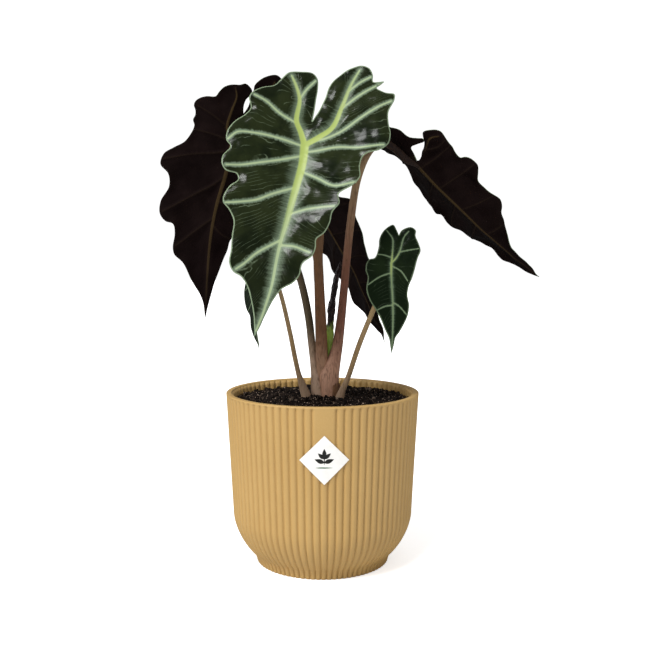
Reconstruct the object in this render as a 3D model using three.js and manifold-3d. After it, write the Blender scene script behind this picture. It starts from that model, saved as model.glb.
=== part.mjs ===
// Potted alocasia: a young plant with six arrow-shaped leaves, growing in a fluted round pot.
// Millimetres, +Z up. The pot stands on z = 0 with its axis on the Z axis, and -Y is the front.
// Every place on the plant is measured from the middle of the soil surface, so a taller or
// shorter pot carries the plant with it.
import * as THREE from "three";
import Module from "manifold-3d";

// ---- pot ----
const potHeight = 124;
const rimRadius = 70; // outside, at the rim
const shoulderRadius = 65.3; // outside, where the straight wall starts to curve in
const shoulderHeight = 38;
const waistRadius = 50.9; // outside, in the crease above the foot
const waistHeight = 7.4;
const footRadius = 48.2;
const wall = 4; // width of the rim lip and of the wall
const floorThickness = 4;
const rimBevel = 0.8;
const ribCount = 80;
const ribDepth = 0.9;
const panelRibs = 3; // ribs that the smooth panel between the rim and the label replaces
const panelTurn = 1; // degrees that the panel and the label stand to the right of the front
// ---- soil ----
const soilDrop = 6.5; // from the rim down to the soil at the wall
const soilMound = 2.5; // how much higher the soil stands around the crown
const gap = 0.3; // between pieces that touch
// ---- label ----
const labelSide = 23.5;
const labelDrop = 35.5; // from the rim down to the middle of the label
const labelThickness = 0.3;
// ---- corm ----
const cormRadius = 15;
const cormDepth = 32;
const cormCrown = 1.5; // how far the corm stands out of the mound
const cormX = 0.5;
const cormY = 2;
// ---- plant ----
const bladeThickness = 0.9;
const petioleSides = 8;
const petioleSteps = 14;
const bladeRings = 3;

const soilLevel = potHeight - soilDrop;
const labelMiddle = potHeight - labelDrop;
const crownLevel = soilMound + cormCrown;

const wasm = await Module();
wasm.setup();

/**
 * A closed solid from a stack of rings. Each ring lists its points counter-clockwise as seen from
 * the end of the stack, and the first and last rings are single points.
 */
function ringSolid(rings) {
  const positions = [];
  const starts = [];
  const index = [];
  for (const ring of rings) {
    starts.push(positions.length / 3);
    ring.forEach((point) => positions.push(point.x, point.y, point.z));
  }
  for (let k = 0; k + 1 < rings.length; k += 1) {
    const below = rings[k].length;
    const above = rings[k + 1].length;
    const count = Math.max(below, above);
    for (let i = 0; i < count; i += 1) {
      const next = (i + 1) % count;
      const a = starts[k] + (below > 1 ? i : 0);
      const b = starts[k] + (below > 1 ? next : 0);
      const c = starts[k + 1] + (above > 1 ? next : 0);
      const d = starts[k + 1] + (above > 1 ? i : 0);
      if (below > 1) index.push(a, b, c);
      if (above > 1) index.push(a, c, d);
    }
  }
  const geometry = new THREE.BufferGeometry();
  geometry.setAttribute("position", new THREE.Float32BufferAttribute(positions, 3));
  geometry.setIndex(index);
  return geometry;
}

/** What is left of a solid when another is cut out of it. */
function cut(geometry, tool) {
  const [solid, cutter] = [geometry, tool].map(
    (item) =>
      new wasm.Manifold(
        new wasm.Mesh({
          numProp: 3,
          vertProperties: Float32Array.from(item.getAttribute("position").array),
          triVerts: Uint32Array.from(item.getIndex().array),
        }),
      ),
  );
  const mesh = solid.subtract(cutter).getMesh();
  const result = new THREE.BufferGeometry();
  result.setAttribute("position", new THREE.BufferAttribute(mesh.vertProperties, mesh.numProp));
  result.setIndex(new THREE.BufferAttribute(mesh.triVerts, 1));
  return result;
}

/** A ring of points around the Z axis, with a radius that may depend on the angle. */
function axisRing(count, radiusAt, z, centreX = 0, centreY = 0) {
  return Array.from({ length: count }, (_, i) => {
    const angle = (2 * Math.PI * i) / count;
    const radius = radiusAt(angle);
    return new THREE.Vector3(centreX + radius * Math.cos(angle), centreY + radius * Math.sin(angle), z);
  });
}

const root = new THREE.Group();
function add(name, geometry, color, roughness) {
  const mesh = new THREE.Mesh(geometry, new THREE.MeshStandardMaterial({ color, roughness }));
  mesh.name = name;
  root.add(mesh);
  return mesh;
}

// ---- pot, soil and label ----

const bowlCurve = new THREE.CubicBezierCurve(
  new THREE.Vector2(waistRadius, waistHeight),
  new THREE.Vector2(waistRadius + 6.7, waistHeight + 5.6),
  new THREE.Vector2(shoulderRadius + 0.1, shoulderHeight - 11.5),
  new THREE.Vector2(shoulderRadius, shoulderHeight),
);
const bowlProfile = bowlCurve.getPoints(4);
const turn = THREE.MathUtils.degToRad(panelTurn);

/** Outer radius of the straight wall, over the rib crests, at a height. */
function wallRadius(z) {
  const share = (z - shoulderHeight) / (potHeight - shoulderHeight);
  return THREE.MathUtils.lerp(shoulderRadius, rimRadius, share);
}

/** Inner radius of the pot where the soil lies against it. */
function innerRadius(z) {
  return wallRadius(z) - wall;
}

/** Depth of the fluting at an angle, on a pot whose panel faces the front exactly. */
function fluteDepth(angle, hasPanel) {
  const fromFront = Math.abs(THREE.MathUtils.euclideanModulo(angle + 1.5 * Math.PI, 2 * Math.PI) - Math.PI);
  const ribAngle = (2 * Math.PI) / ribCount;
  const inPanel = hasPanel && fromFront < (panelRibs / 2 - 0.25) * ribAngle;
  const isGroove = Math.abs(Math.cos((fromFront * ribCount) / 2)) < 0.5;
  return isGroove && !inPanel ? ribDepth : 0;
}

function buildPot() {
  const points = 2 * ribCount;
  const fluted = (radius) => (angle) => radius - fluteDepth(angle, false);
  const panelled = (radius) => (angle) => radius - fluteDepth(angle, true);
  const topOfWall = potHeight - rimBevel;
  const plain = (radius) => () => radius;
  const rings = [
    [new THREE.Vector3(0, 0, 0)],
    axisRing(points, fluted(footRadius), 0),
    ...bowlProfile.map((point) => axisRing(points, fluted(point.x), point.y)),
    axisRing(points, fluted(wallRadius(labelMiddle)), labelMiddle),
    axisRing(points, panelled(wallRadius(labelMiddle + ribDepth)), labelMiddle + ribDepth),
    axisRing(points, panelled(wallRadius(topOfWall)), topOfWall),
    axisRing(points, plain(rimRadius - rimBevel - ribDepth), potHeight),
    axisRing(points, plain(rimRadius - wall + rimBevel), potHeight),
    axisRing(points, plain(innerRadius(potHeight)), topOfWall),
    axisRing(points, plain(shoulderRadius - wall), shoulderHeight),
    axisRing(points, plain(waistRadius), waistHeight + floorThickness + 3),
    axisRing(points, plain(waistRadius - 8), waistHeight + floorThickness),
    [new THREE.Vector3(0, 0, waistHeight + floorThickness)],
  ];
  add("pot", ringSolid(rings).rotateZ(turn), 0xc19e62, 0.6);
}

/** Rings of the corm's outline, grown on every side by a clearance. */
function cormRings(clearance) {
  const top = soilLevel + crownLevel + clearance;
  const bottom = soilLevel - cormDepth - clearance;
  const middle = (top + bottom) / 2;
  const profile = [
    [0.45, bottom + 4],
    [0.85, middle - 6],
    [1, middle + 4],
    [1, top - 4],
    [0.95, top],
  ];
  return [
    [new THREE.Vector3(cormX, cormY, bottom)],
    ...profile.map(([share, z]) => axisRing(20, () => share * cormRadius + clearance, z, cormX, cormY)),
    [new THREE.Vector3(cormX, cormY, top)],
  ];
}

function buildSoil() {
  const sides = ribCount;
  const edge = innerRadius(soilLevel) - gap;
  const plug = ringSolid([
    [new THREE.Vector3(0, 0, waistHeight + floorThickness + gap)],
    axisRing(sides, () => waistRadius - 8 - gap, waistHeight + floorThickness + gap),
    axisRing(sides, () => waistRadius - gap, waistHeight + floorThickness + 3 + gap),
    axisRing(sides, () => shoulderRadius - wall - gap, shoulderHeight),
    axisRing(sides, () => edge, soilLevel),
    axisRing(sides, () => edge * 0.62, soilLevel + soilMound * 0.45),
    axisRing(sides, () => edge * 0.34, soilLevel + soilMound),
    [new THREE.Vector3(0, 0, soilLevel + soilMound)],
  ]);
  add("soil", cut(plug, ringSolid(cormRings(gap))), 0x1d1613, 0.95);
  add("corm", ringSolid(cormRings(0)), 0x4a3a28, 0.8);
}

function buildLabel() {
  const half = labelSide / Math.SQRT2;
  const edgeSteps = 4;
  const corners = [
    [0, -half],
    [half, 0],
    [0, half],
    [-half, 0],
  ];
  const outline = corners.flatMap(([x, y], i) => {
    const [nextX, nextY] = corners[(i + 1) % corners.length];
    return Array.from({ length: edgeSteps }, (_, step) => [
      THREE.MathUtils.lerp(x, nextX, step / edgeSteps),
      THREE.MathUtils.lerp(y, nextY, step / edgeSteps),
    ]);
  });
  const onWall = (x, y, lift) => {
    const z = labelMiddle + y;
    const radius = wallRadius(z) + gap + lift;
    const angle = -Math.PI / 2 + x / radius;
    return new THREE.Vector3(radius * Math.cos(angle), radius * Math.sin(angle), z);
  };
  const sheet = (share, lift) => outline.map(([x, y]) => onWall(share * x, share * y, lift));
  const rings = [
    [onWall(0, 0, 0)],
    sheet(0.5, 0),
    sheet(1, 0),
    sheet(1, labelThickness),
    sheet(0.5, labelThickness),
    [onWall(0, 0, labelThickness)],
  ];
  add("label", ringSolid(rings).rotateZ(turn), 0xf2f0ea, 0.6);
}

// ---- leaves ----
// A leaf's flat outline is drawn as seen on its face with the tip down: x to the right, y from the
// junction towards the tip. right and left run from the sinus between the lobes to the tip.
// junction, tip and route are measured from the middle of the soil surface. base, the foot of the
// petiole, is measured from the middle of the corm, and base and baseShare are shares of its radius.

const leaves = {
  front: {
    junction: [-12, -38, 179],
    tip: [-43.5, -78, 53.5],
    facing: [0, -1, 0.25],
    sag: 6,
    fold: 8,
    sinus: [0, -21],
    right: [
      [4, -38], [8, -57], [16, -68], [25, -72], [33, -66], [37, -56], [44, -53], [51, -53],
      [51, -40], [52, -28], [55, -16], [50, -5], [41, 2], [42, 14], [37, 25], [32, 36],
      [30, 48], [27, 61], [25, 73], [19, 86], [15, 98], [8, 108], [4, 120],
    ],
    left: [
      [-1, -38], [-5, -54], [-14, -58], [-25, -53], [-29, -43], [-37, -36], [-44, -27],
      [-43, -14], [-50, -2], [-51, 11], [-47, 18], [-49, 28], [-41, 35], [-36, 38], [-41, 49],
      [-37, 60], [-31, 68], [-29, 82], [-26, 95], [-17, 101], [-9, 112], [-4, 124],
    ],
    base: [-0.03, 0],
    route: [[-1, -3, 51], [-3, -12, 104], [-2, -17, 120], [-2, -26, 147], [-8, -32.5, 169]],
    baseShare: 0.3,
    topRadius: 2.4,
  },
  left: {
    junction: [-66, 15, 189],
    tip: [-89.5, 32, 56.5],
    facing: [-0.2, 0.9, 0.3],
    sag: 4,
    fold: 8,
    sinus: [-3, -17],
    right: [
      [0, -32], [3, -40], [9, -39], [16, -30], [25, -27], [31, -21], [30, -8], [30, 0], [35, 8],
      [47, 17], [48, 27], [41, 33], [40, 41], [45, 54], [43, 64], [34, 68], [31, 78], [30, 90],
      [23, 95], [15, 108], [7, 120],
    ],
    left: [
      [-6, -30], [-9, -42], [-16, -49], [-25, -51], [-33, -44], [-38, -32], [-42, -18],
      [-44, -4], [-42, 10], [-38, 25], [-34, 38], [-30, 50], [-24, 62], [-13, 70], [-9, 84],
      [-5, 100], [-2, 118],
    ],
    base: [-0.47, 0.37],
    route: [[-6.5, 7, 25], [-10, 8, 59], [-16, 9, 87], [-31, 11, 127], [-51, 11, 169]],
    baseShare: 0.2,
    topRadius: 2.3,
  },
  right: {
    junction: [64, 6, 175],
    tip: [161, 18, 89],
    facing: [0.563, 0.522, 0.64],
    sag: -4,
    fold: 14,
    sinus: [-5, -9],
    right: [
      [-6, -20], [-2, -29], [6, -38], [16, -41], [27, -36], [32, -26], [27, -14], [20, -5],
      [18, 3], [22, 10], [27, 18], [30, 32], [31, 44], [28, 52], [30, 60], [28, 72], [28, 79],
      [22, 85], [15, 92], [12, 103], [5, 118],
    ],
    left: [
      [-11, -8], [-22, -9], [-30, -5], [-35, 1], [-34, 13], [-32, 21], [-37, 29], [-37, 36],
      [-30, 43], [-28, 52], [-28, 64], [-22, 72], [-17, 80], [-12, 89], [-6, 102], [-2, 117],
    ],
    base: [0.63, -0.13],
    route: [[10, 1, 43], [13, 1, 60], [16, 2, 89], [20, 2, 126], [25, 1, 159], [32, 0, 177],
      [38, 0, 184], [44, 1, 185.5], [51, 2, 182]],
    baseShare: 0.22,
    topRadius: 2.1,
  },
  back: {
    junction: [-3.5, 45, 139.5],
    tip: [49, 52, 36.5],
    facing: [0.786, 0.469, 0.397],
    sag: 3,
    fold: 8,
    sinus: [0, -15],
    right: [
      [6, -27], [14, -31], [22, -25], [29, -12], [34, 4], [39, 20], [42, 32], [35, 39], [32, 43],
      [36, 52], [30, 63], [28, 72], [30, 81], [25, 87], [17, 93], [9, 101],
    ],
    left: [
      [-8, -28], [-15, -30], [-23, -22], [-25, -8], [-31, -2], [-41, 4], [-36, 16], [-35, 26],
      [-31, 36], [-27, 45], [-25, 55], [-21, 67], [-16, 78], [-10, 89], [-3, 102],
    ],
    base: [0.13, 0.7],
    route: [[0, 18, 50], [-4, 28, 94], [-8, 37, 122]],
    baseShare: 0.18,
    topRadius: 1.8,
  },
  small_right: {
    junction: [47.5, -28, 100],
    tip: [47, -42, 38.5],
    facing: [0.1, -1, 0.3],
    sag: 3,
    fold: 8,
    sinus: [5, -20],
    right: [
      [9, -25], [15, -27], [18, -23], [19, -15], [20, -8], [17, 0], [14, 10], [11, 18], [10, 24],
      [12, 32], [9, 42], [5, 49], [2, 57],
    ],
    left: [
      [3, -28], [-1, -27], [-6, -22], [-9, -13], [-11, -5], [-16, -2], [-18, 6], [-17, 11],
      [-18, 21], [-15, 28], [-10, 36], [-5, 47], [-1.5, 56],
    ],
    base: [0.63, -0.67],
    route: [[17, -11, 17], [26, -16, 42], [36, -21, 68], [44, -24, 88]],
    baseShare: 0.135,
    topRadius: 1.3,
  },
  small_left: {
    junction: [-46, -42, 94],
    tip: [-43, -44, 42],
    facing: [-0.96, -0.28, 0],
    sag: 2,
    fold: 8,
    sinus: [0, -8],
    right: [
      [5, -14], [10, -15], [13, -8], [14, 2], [14, 14], [12, 24], [8, 33], [4, 42], [1.5, 48],
    ],
    left: [
      [-5, -14], [-10, -14], [-14, -6], [-16, 4], [-18, 14], [-15, 25], [-9, 30], [-9, 38],
      [-6, 44], [-2, 49],
    ],
    base: [-0.88, -0.33],
    route: [[-18, -6, 22], [-23, -14, 50], [-29, -24, 78], [-35, -33, 97], [-39, -38, 101]],
    baseShare: 0.135,
    topRadius: 1.4,
  },
};

/** A point measured from the middle of the soil surface, in the part's frame. */
function fromSoil([x, y, z]) {
  return new THREE.Vector3(x, y, soilLevel + z);
}

/** A point over the corm's crown, given in shares of the corm's radius and a height. */
function onCrown([x, y], height) {
  return fromSoil([cormX + x * cormRadius, cormY + y * cormRadius, crownLevel + height]);
}

/** The directions of a leaf: along its midrib, out of its face and across it. */
function leafFrame(leaf) {
  const junction = fromSoil(leaf.junction);
  const along = fromSoil(leaf.tip).sub(junction);
  const length = along.length();
  along.normalize();
  const out = new THREE.Vector3(...leaf.facing);
  out.addScaledVector(along, -out.dot(along)).normalize();
  const across = new THREE.Vector3().crossVectors(out, along);
  return { junction, length, along, out, across };
}

/** Where a point of the flat outline lies once the leaf is folded, sagged and placed. */
function bend(leaf, frame, [x, y]) {
  const share = y / frame.length;
  const rise = 4 * leaf.sag * (share > 0 ? share * (1 - share) : share);
  const fold = THREE.MathUtils.degToRad(leaf.fold);
  return frame.junction
    .clone()
    .addScaledVector(frame.along, y)
    .addScaledVector(frame.across, x * Math.cos(fold))
    .addScaledVector(frame.out, rise + Math.abs(x) * Math.sin(fold));
}

function buildBlade(name, leaf) {
  const frame = leafFrame(leaf);
  const outline = [[0, frame.length], ...leaf.right.toReversed(), leaf.sinus, ...leaf.left];
  const layer = (depth) => {
    const place = (x, y) => bend(leaf, frame, [x, y]).addScaledVector(frame.out, -depth);
    const rings = Array.from({ length: bladeRings }, (_, k) => {
      const share = (k + 1) / bladeRings;
      return outline.map(([x, y]) => place(x * share, y * share));
    });
    return [[place(0, 0)], ...rings];
  };
  const rings = [...layer(bladeThickness), ...layer(0).toReversed()];
  add(`blade_${name}`, ringSolid(rings), 0x28331c, 0.4);
}

/** A tapering round stem along a smooth curve through its points. */
function stemSolid(points, baseRadius, topRadius, steps) {
  const curve = new THREE.CatmullRomCurve3(points);
  const frames = curve.computeFrenetFrames(steps, false);
  const rings = Array.from({ length: steps + 1 }, (_, k) => {
    const share = k / steps;
    const centre = curve.getPointAt(share);
    const radius = THREE.MathUtils.lerp(baseRadius, topRadius, Math.sqrt(share));
    return Array.from({ length: petioleSides }, (_, i) => {
      const angle = (2 * Math.PI * i) / petioleSides;
      return centre
        .clone()
        .addScaledVector(frames.normals[k], radius * Math.cos(angle))
        .addScaledVector(frames.binormals[k], radius * Math.sin(angle));
    });
  });
  return ringSolid([[points[0]], ...rings, [points.at(-1)]]);
}

function buildPetiole(name, leaf) {
  const frame = leafFrame(leaf);
  const behind = (distance) => frame.junction.clone().addScaledVector(frame.out, -distance);
  const points = [
    onCrown(leaf.base, gap),
    onCrown(leaf.base, 6),
    ...leaf.route.map(fromSoil),
    behind(bladeThickness + gap + 4.5),
    behind(bladeThickness + gap),
  ];
  add(`petiole_${name}`, stemSolid(points, leaf.baseShare * cormRadius, leaf.topRadius, petioleSteps), 0x5a4130, 0.5);
}

/** The young leaf, still rolled up, that stands between the petioles. */
function buildFurledLeaf() {
  const base = [0.37, 0.41];
  const route = [[6, 7.5, 20], [6, 7, 50], [7, 7, 72], [10, 7, 98]];
  const points = [onCrown(base, gap), ...route.map(fromSoil)];
  add("furled_leaf", stemSolid(points, 0.11 * cormRadius, 2.2, 8), 0x2c3a1e, 0.4);
}

/** The dry, brown remains of an old sheath around the foot of the right petiole. */
function buildDrySheath() {
  const foot = onCrown(leaves.right.base, gap);
  const inner = leaves.right.baseShare * cormRadius + 0.5;
  const thickness = 0.6;
  const steps = 6;
  const levels = [
    [0, 1],
    [8, 0.8],
    [13, 0.35],
  ];
  const arc = (radius, height, spread, order) =>
    order.map((i) => {
      const angle = THREE.MathUtils.degToRad(-20 + 65 * spread * ((2 * i) / steps - 1));
      const offset = new THREE.Vector3(radius * Math.cos(angle), radius * Math.sin(angle), height);
      return offset.add(foot);
    });
  const forward = Array.from({ length: steps + 1 }, (_, i) => i);
  const rings = levels.map(([height, spread]) => [
    ...arc(inner + thickness, height, spread, forward),
    ...arc(inner, height, spread, forward.toReversed()),
  ]);
  const centreOf = (ring) =>
    ring
      .reduce((sum, point) => sum.add(point), new THREE.Vector3())
      .divideScalar(ring.length)
      .lerp(ring[steps / 2], 0.9);
  const solid = ringSolid([[centreOf(rings[0])], ...rings, [centreOf(rings.at(-1))]]);
  add("dry_sheath", solid, 0x6b4a30, 0.8);
}

buildPot();
buildSoil();
buildLabel();
for (const [name, leaf] of Object.entries(leaves)) {
  buildPetiole(name, leaf);
  buildBlade(name, leaf);
}
buildFurledLeaf();
buildDrySheath();

export default root;
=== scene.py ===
"""Potted alocasia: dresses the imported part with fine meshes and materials, in a plain studio."""

from __future__ import annotations

import logging
import math
from collections.abc import Callable, Sequence
from dataclasses import dataclass
from enum import Enum
from itertools import combinations
from random import Random

import bpy
import numpy as np
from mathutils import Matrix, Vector, noise
from mathutils.geometry import delaunay_2d_cdt

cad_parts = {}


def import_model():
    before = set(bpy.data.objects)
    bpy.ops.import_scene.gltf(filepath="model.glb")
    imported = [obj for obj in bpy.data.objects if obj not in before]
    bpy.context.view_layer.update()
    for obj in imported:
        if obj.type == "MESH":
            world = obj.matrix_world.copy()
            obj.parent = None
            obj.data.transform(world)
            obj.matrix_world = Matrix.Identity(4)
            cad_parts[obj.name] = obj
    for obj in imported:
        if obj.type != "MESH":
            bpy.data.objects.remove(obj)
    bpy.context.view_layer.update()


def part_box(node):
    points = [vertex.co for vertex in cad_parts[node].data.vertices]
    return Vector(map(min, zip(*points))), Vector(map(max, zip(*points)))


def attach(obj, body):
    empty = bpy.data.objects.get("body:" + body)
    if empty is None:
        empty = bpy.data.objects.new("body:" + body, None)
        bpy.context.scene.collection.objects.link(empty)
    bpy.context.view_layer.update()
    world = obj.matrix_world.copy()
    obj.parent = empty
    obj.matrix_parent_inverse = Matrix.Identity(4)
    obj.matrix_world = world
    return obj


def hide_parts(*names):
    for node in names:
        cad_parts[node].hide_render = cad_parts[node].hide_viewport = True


LOG = logging.getLogger("potted_alocasia")
MM = 0.001
FULL_LENGTH = 135.0  # of a full-grown leaf, from junction to tip, in millimetres
FAR_RATIO = 9.0  # what a point gets that is far from every vein
Pairs = Sequence[tuple[float, float]]
Color = tuple[float, float, float]


# ---------------------------------------------------------------- curves and fields


def smooth_curve(points: np.ndarray, step: float) -> np.ndarray:
    """Even steps along a centripetal Catmull-Rom curve.

    Args:
        points: Control points, one row each.
        step: Wanted distance between the points of the result.

    Returns:
        Points along the curve, from the first control point to the last.
    """
    points = np.asarray(points, dtype=float)
    padded = np.vstack([2 * points[0] - points[1], points, 2 * points[-1] - points[-2]])
    knots = np.concatenate([[0.0], np.cumsum(np.linalg.norm(np.diff(padded, axis=0), axis=1) ** 0.5)])
    dense = [points[0]]
    for i in range(1, len(padded) - 2):
        t0, t1, t2, t3 = knots[i - 1 : i + 3]
        p0, p1, p2, p3 = padded[i - 1 : i + 3]
        t = np.linspace(t1, t2, 13)[1:, None]
        a1 = (t1 - t) / (t1 - t0) * p0 + (t - t0) / (t1 - t0) * p1
        a2 = (t2 - t) / (t2 - t1) * p1 + (t - t1) / (t2 - t1) * p2
        a3 = (t3 - t) / (t3 - t2) * p2 + (t - t2) / (t3 - t2) * p3
        b1 = (t2 - t) / (t2 - t0) * a1 + (t - t0) / (t2 - t0) * a2
        b2 = (t3 - t) / (t3 - t1) * a2 + (t - t1) / (t3 - t1) * a3
        dense.extend((t2 - t) / (t2 - t1) * b1 + (t - t1) / (t2 - t1) * b2)
    dense = np.array(dense)
    run = np.concatenate([[0.0], np.cumsum(np.linalg.norm(np.diff(dense, axis=0), axis=1))])
    stations = np.linspace(0, run[-1], max(2, round(run[-1] / step) + 1))
    return np.column_stack([np.interp(stations, run, dense[:, k]) for k in range(dense.shape[1])])


def line_distance(points: np.ndarray, line: np.ndarray) -> tuple[np.ndarray, np.ndarray]:
    """Distance from points to a polyline.

    Args:
        points: Points to measure, one row each.
        line: The polyline's points, in order.

    Returns:
        The distance of each point, and where its nearest place lies, from 0 to 1 along the line.
    """
    best = np.full(len(points), np.inf)
    share = np.zeros(len(points))
    lengths = np.linalg.norm(np.diff(line, axis=0), axis=1)
    total = lengths.sum()
    run = 0.0
    for start, end, length in zip(line[:-1], line[1:], lengths):
        across = end - start
        t = np.clip((points - start) @ across / max(length**2, 1e-12), 0, 1)
        distance = np.linalg.norm(points - start - t[:, None] * across, axis=1)
        nearer = distance < best
        best[nearer] = distance[nearer]
        share[nearer] = (run + t[nearer] * length) / total
        run += length
    return best, share


def inside_outline(points: np.ndarray, outline: np.ndarray) -> np.ndarray:
    """Which points lie inside a closed outline.

    Args:
        points: Points to test, one row each.
        outline: The outline's corners, in order.

    Returns:
        True for each point that lies inside.
    """
    inside = np.zeros(len(points), dtype=bool)
    x, y = points[:, 0], points[:, 1]
    for (x1, y1), (x2, y2) in zip(outline, np.roll(outline, -1, axis=0)):
        crosses = (y1 > y) != (y2 > y)
        if y1 != y2:
            inside ^= crosses & (x < (x2 - x1) * (y - y1) / (y2 - y1) + x1)
    return inside


def turn_plane(angle: float) -> np.ndarray:
    """What turns rows of x and y counter-clockwise by an angle in radians."""
    return np.array([(math.cos(angle), math.sin(angle)), (-math.sin(angle), math.cos(angle))])


def smoothstep(low: float, high: float, value: np.ndarray) -> np.ndarray:
    """0 below low, 1 above high and a smooth change between them."""
    t = np.clip((value - low) / (high - low), 0, 1)
    return t * t * (3 - 2 * t)


def waves(points: np.ndarray, size: float, seed: float, octaves: int = 3) -> np.ndarray:
    """Smooth noise over points.

    Args:
        points: Points, with two or three columns.
        size: Width of the largest waves, in the points' unit.
        seed: Shifts the noise, so that pieces differ.
        octaves: How many finer layers are added.

    Returns:
        A value for each point, mostly between -1 and 1.
    """
    values = np.empty(len(points))
    for i, point in enumerate(points):
        third = point[2] / size if len(point) > 2 else 0.0
        place = Vector((point[0] / size + seed, point[1] / size - seed, third + 0.37 * seed))
        values[i] = noise.fractal(place, 0.9, 2.0, octaves)
    return values


# ---------------------------------------------------------------- meshes


def mesh_object(
    name: str,
    vertices: np.ndarray,
    faces: Sequence[Sequence[int]],
    materials: Sequence[bpy.types.Material],
    slots: Sequence[int] | None = None,
    fields: dict[str, np.ndarray] | None = None,
) -> bpy.types.Object:
    """Makes a smooth-shaded mesh object.

    Args:
        name: Name of the object and of its mesh.
        vertices: Vertex places in metres.
        faces: Vertex numbers of each face.
        materials: Materials, in slot order.
        slots: Material slot of each face, or None for the first slot everywhere.
        fields: Values for each vertex, one or three columns, by attribute name.

    Returns:
        The new object, linked to the scene.
    """
    mesh = bpy.data.meshes.new(name)
    mesh.from_pydata([tuple(v) for v in vertices], [], [tuple(f) for f in faces])
    for material in materials:
        mesh.materials.append(material)
    if slots is not None:
        mesh.polygons.foreach_set("material_index", np.asarray(slots, dtype=np.int32))
    for key, values in (fields or {}).items():
        values = np.asarray(values, dtype=np.float32)
        kind = "FLOAT_VECTOR" if values.ndim == 2 else "FLOAT"
        attribute = mesh.attributes.new(key, kind, "POINT")
        attribute.data.foreach_set("vector" if values.ndim == 2 else "value", values.ravel())
    mesh.polygons.foreach_set("use_smooth", np.ones(len(mesh.polygons), dtype=bool))
    mesh.validate()
    mesh.update()
    piece = bpy.data.objects.new(name, mesh)
    bpy.context.scene.collection.objects.link(piece)
    return piece


def ring_faces(rings: int, count: int, start: int = 0) -> list[tuple[int, int, int, int]]:
    """Quads between neighbouring closed rings.

    Args:
        rings: Number of rings.
        count: Vertices in each ring.
        start: Number of the first vertex.

    Returns:
        The vertex numbers of each quad, facing out when the rings run counter-clockwise and upwards.
    """
    faces = []
    for k in range(rings - 1):
        low = start + k * count
        for i in range(count):
            after = (i + 1) % count
            faces.append((low + i, low + after, low + count + after, low + count + i))
    return faces


def loft_faces(rings: int, count: int, start: int = 0) -> list[tuple[int, ...]]:
    """Faces of a loft through closed rings, shut at both ends by a fan.

    The middle vertices of the two fans, low and high, follow the rings' own vertices.

    Args:
        rings: Number of rings.
        count: Vertices in each ring.
        start: Number of the first vertex.

    Returns:
        The vertex numbers of each face, facing out.
    """
    faces: list[tuple[int, ...]] = list(ring_faces(rings, count, start))
    centre = start + rings * count
    for i in range(count):
        after = (i + 1) % count
        faces.append((centre, start + after, start + i))
        faces.append((centre + 1, centre - count + i, centre - count + after))
    return faces


def curve_frames(path: np.ndarray) -> tuple[np.ndarray, np.ndarray, np.ndarray]:
    """Directions that turn as little as possible along a path.

    Args:
        path: Points along the path.

    Returns:
        Tangent, side and second side at each point, each of length 1.
    """
    tangents = np.gradient(path, axis=0)
    tangents /= np.linalg.norm(tangents, axis=1)[:, None]
    sides = np.empty_like(path)
    side = np.cross(tangents[0], (0.0, 1.0, 0.0))
    for i, tangent in enumerate(tangents):
        side = side - tangent * (side @ tangent)
        side /= np.linalg.norm(side)
        sides[i] = side
    return tangents, sides, np.cross(tangents, sides)


def point_normals(points: np.ndarray, faces: np.ndarray) -> np.ndarray:
    """Directions out of a surface.

    Args:
        points: The surface's points.
        faces: Point numbers of each triangle.

    Returns:
        The direction at each point, of length 1.
    """
    normals = np.zeros_like(points)
    corner = points[faces]
    face_normals = np.cross(corner[:, 1] - corner[:, 0], corner[:, 2] - corner[:, 0])
    for k in range(3):
        np.add.at(normals, faces[:, k], face_normals)
    return normals / np.linalg.norm(normals, axis=1)[:, None]


def dress(piece: bpy.types.Object, slot: str, *nodes: str) -> bpy.types.Object:
    """Puts a piece on the part's only body, in the place of CAD nodes.

    Args:
        piece: The finished piece.
        slot: Not used.
        nodes: CAD nodes that it stands for.

    Returns:
        The same piece.
    """
    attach(piece, "root")
    if nodes:
        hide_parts(*nodes)
    LOG.info("%s: %d vertices", piece.name, len(piece.data.vertices))
    return piece


# ---------------------------------------------------------------- shader graphs


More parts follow.
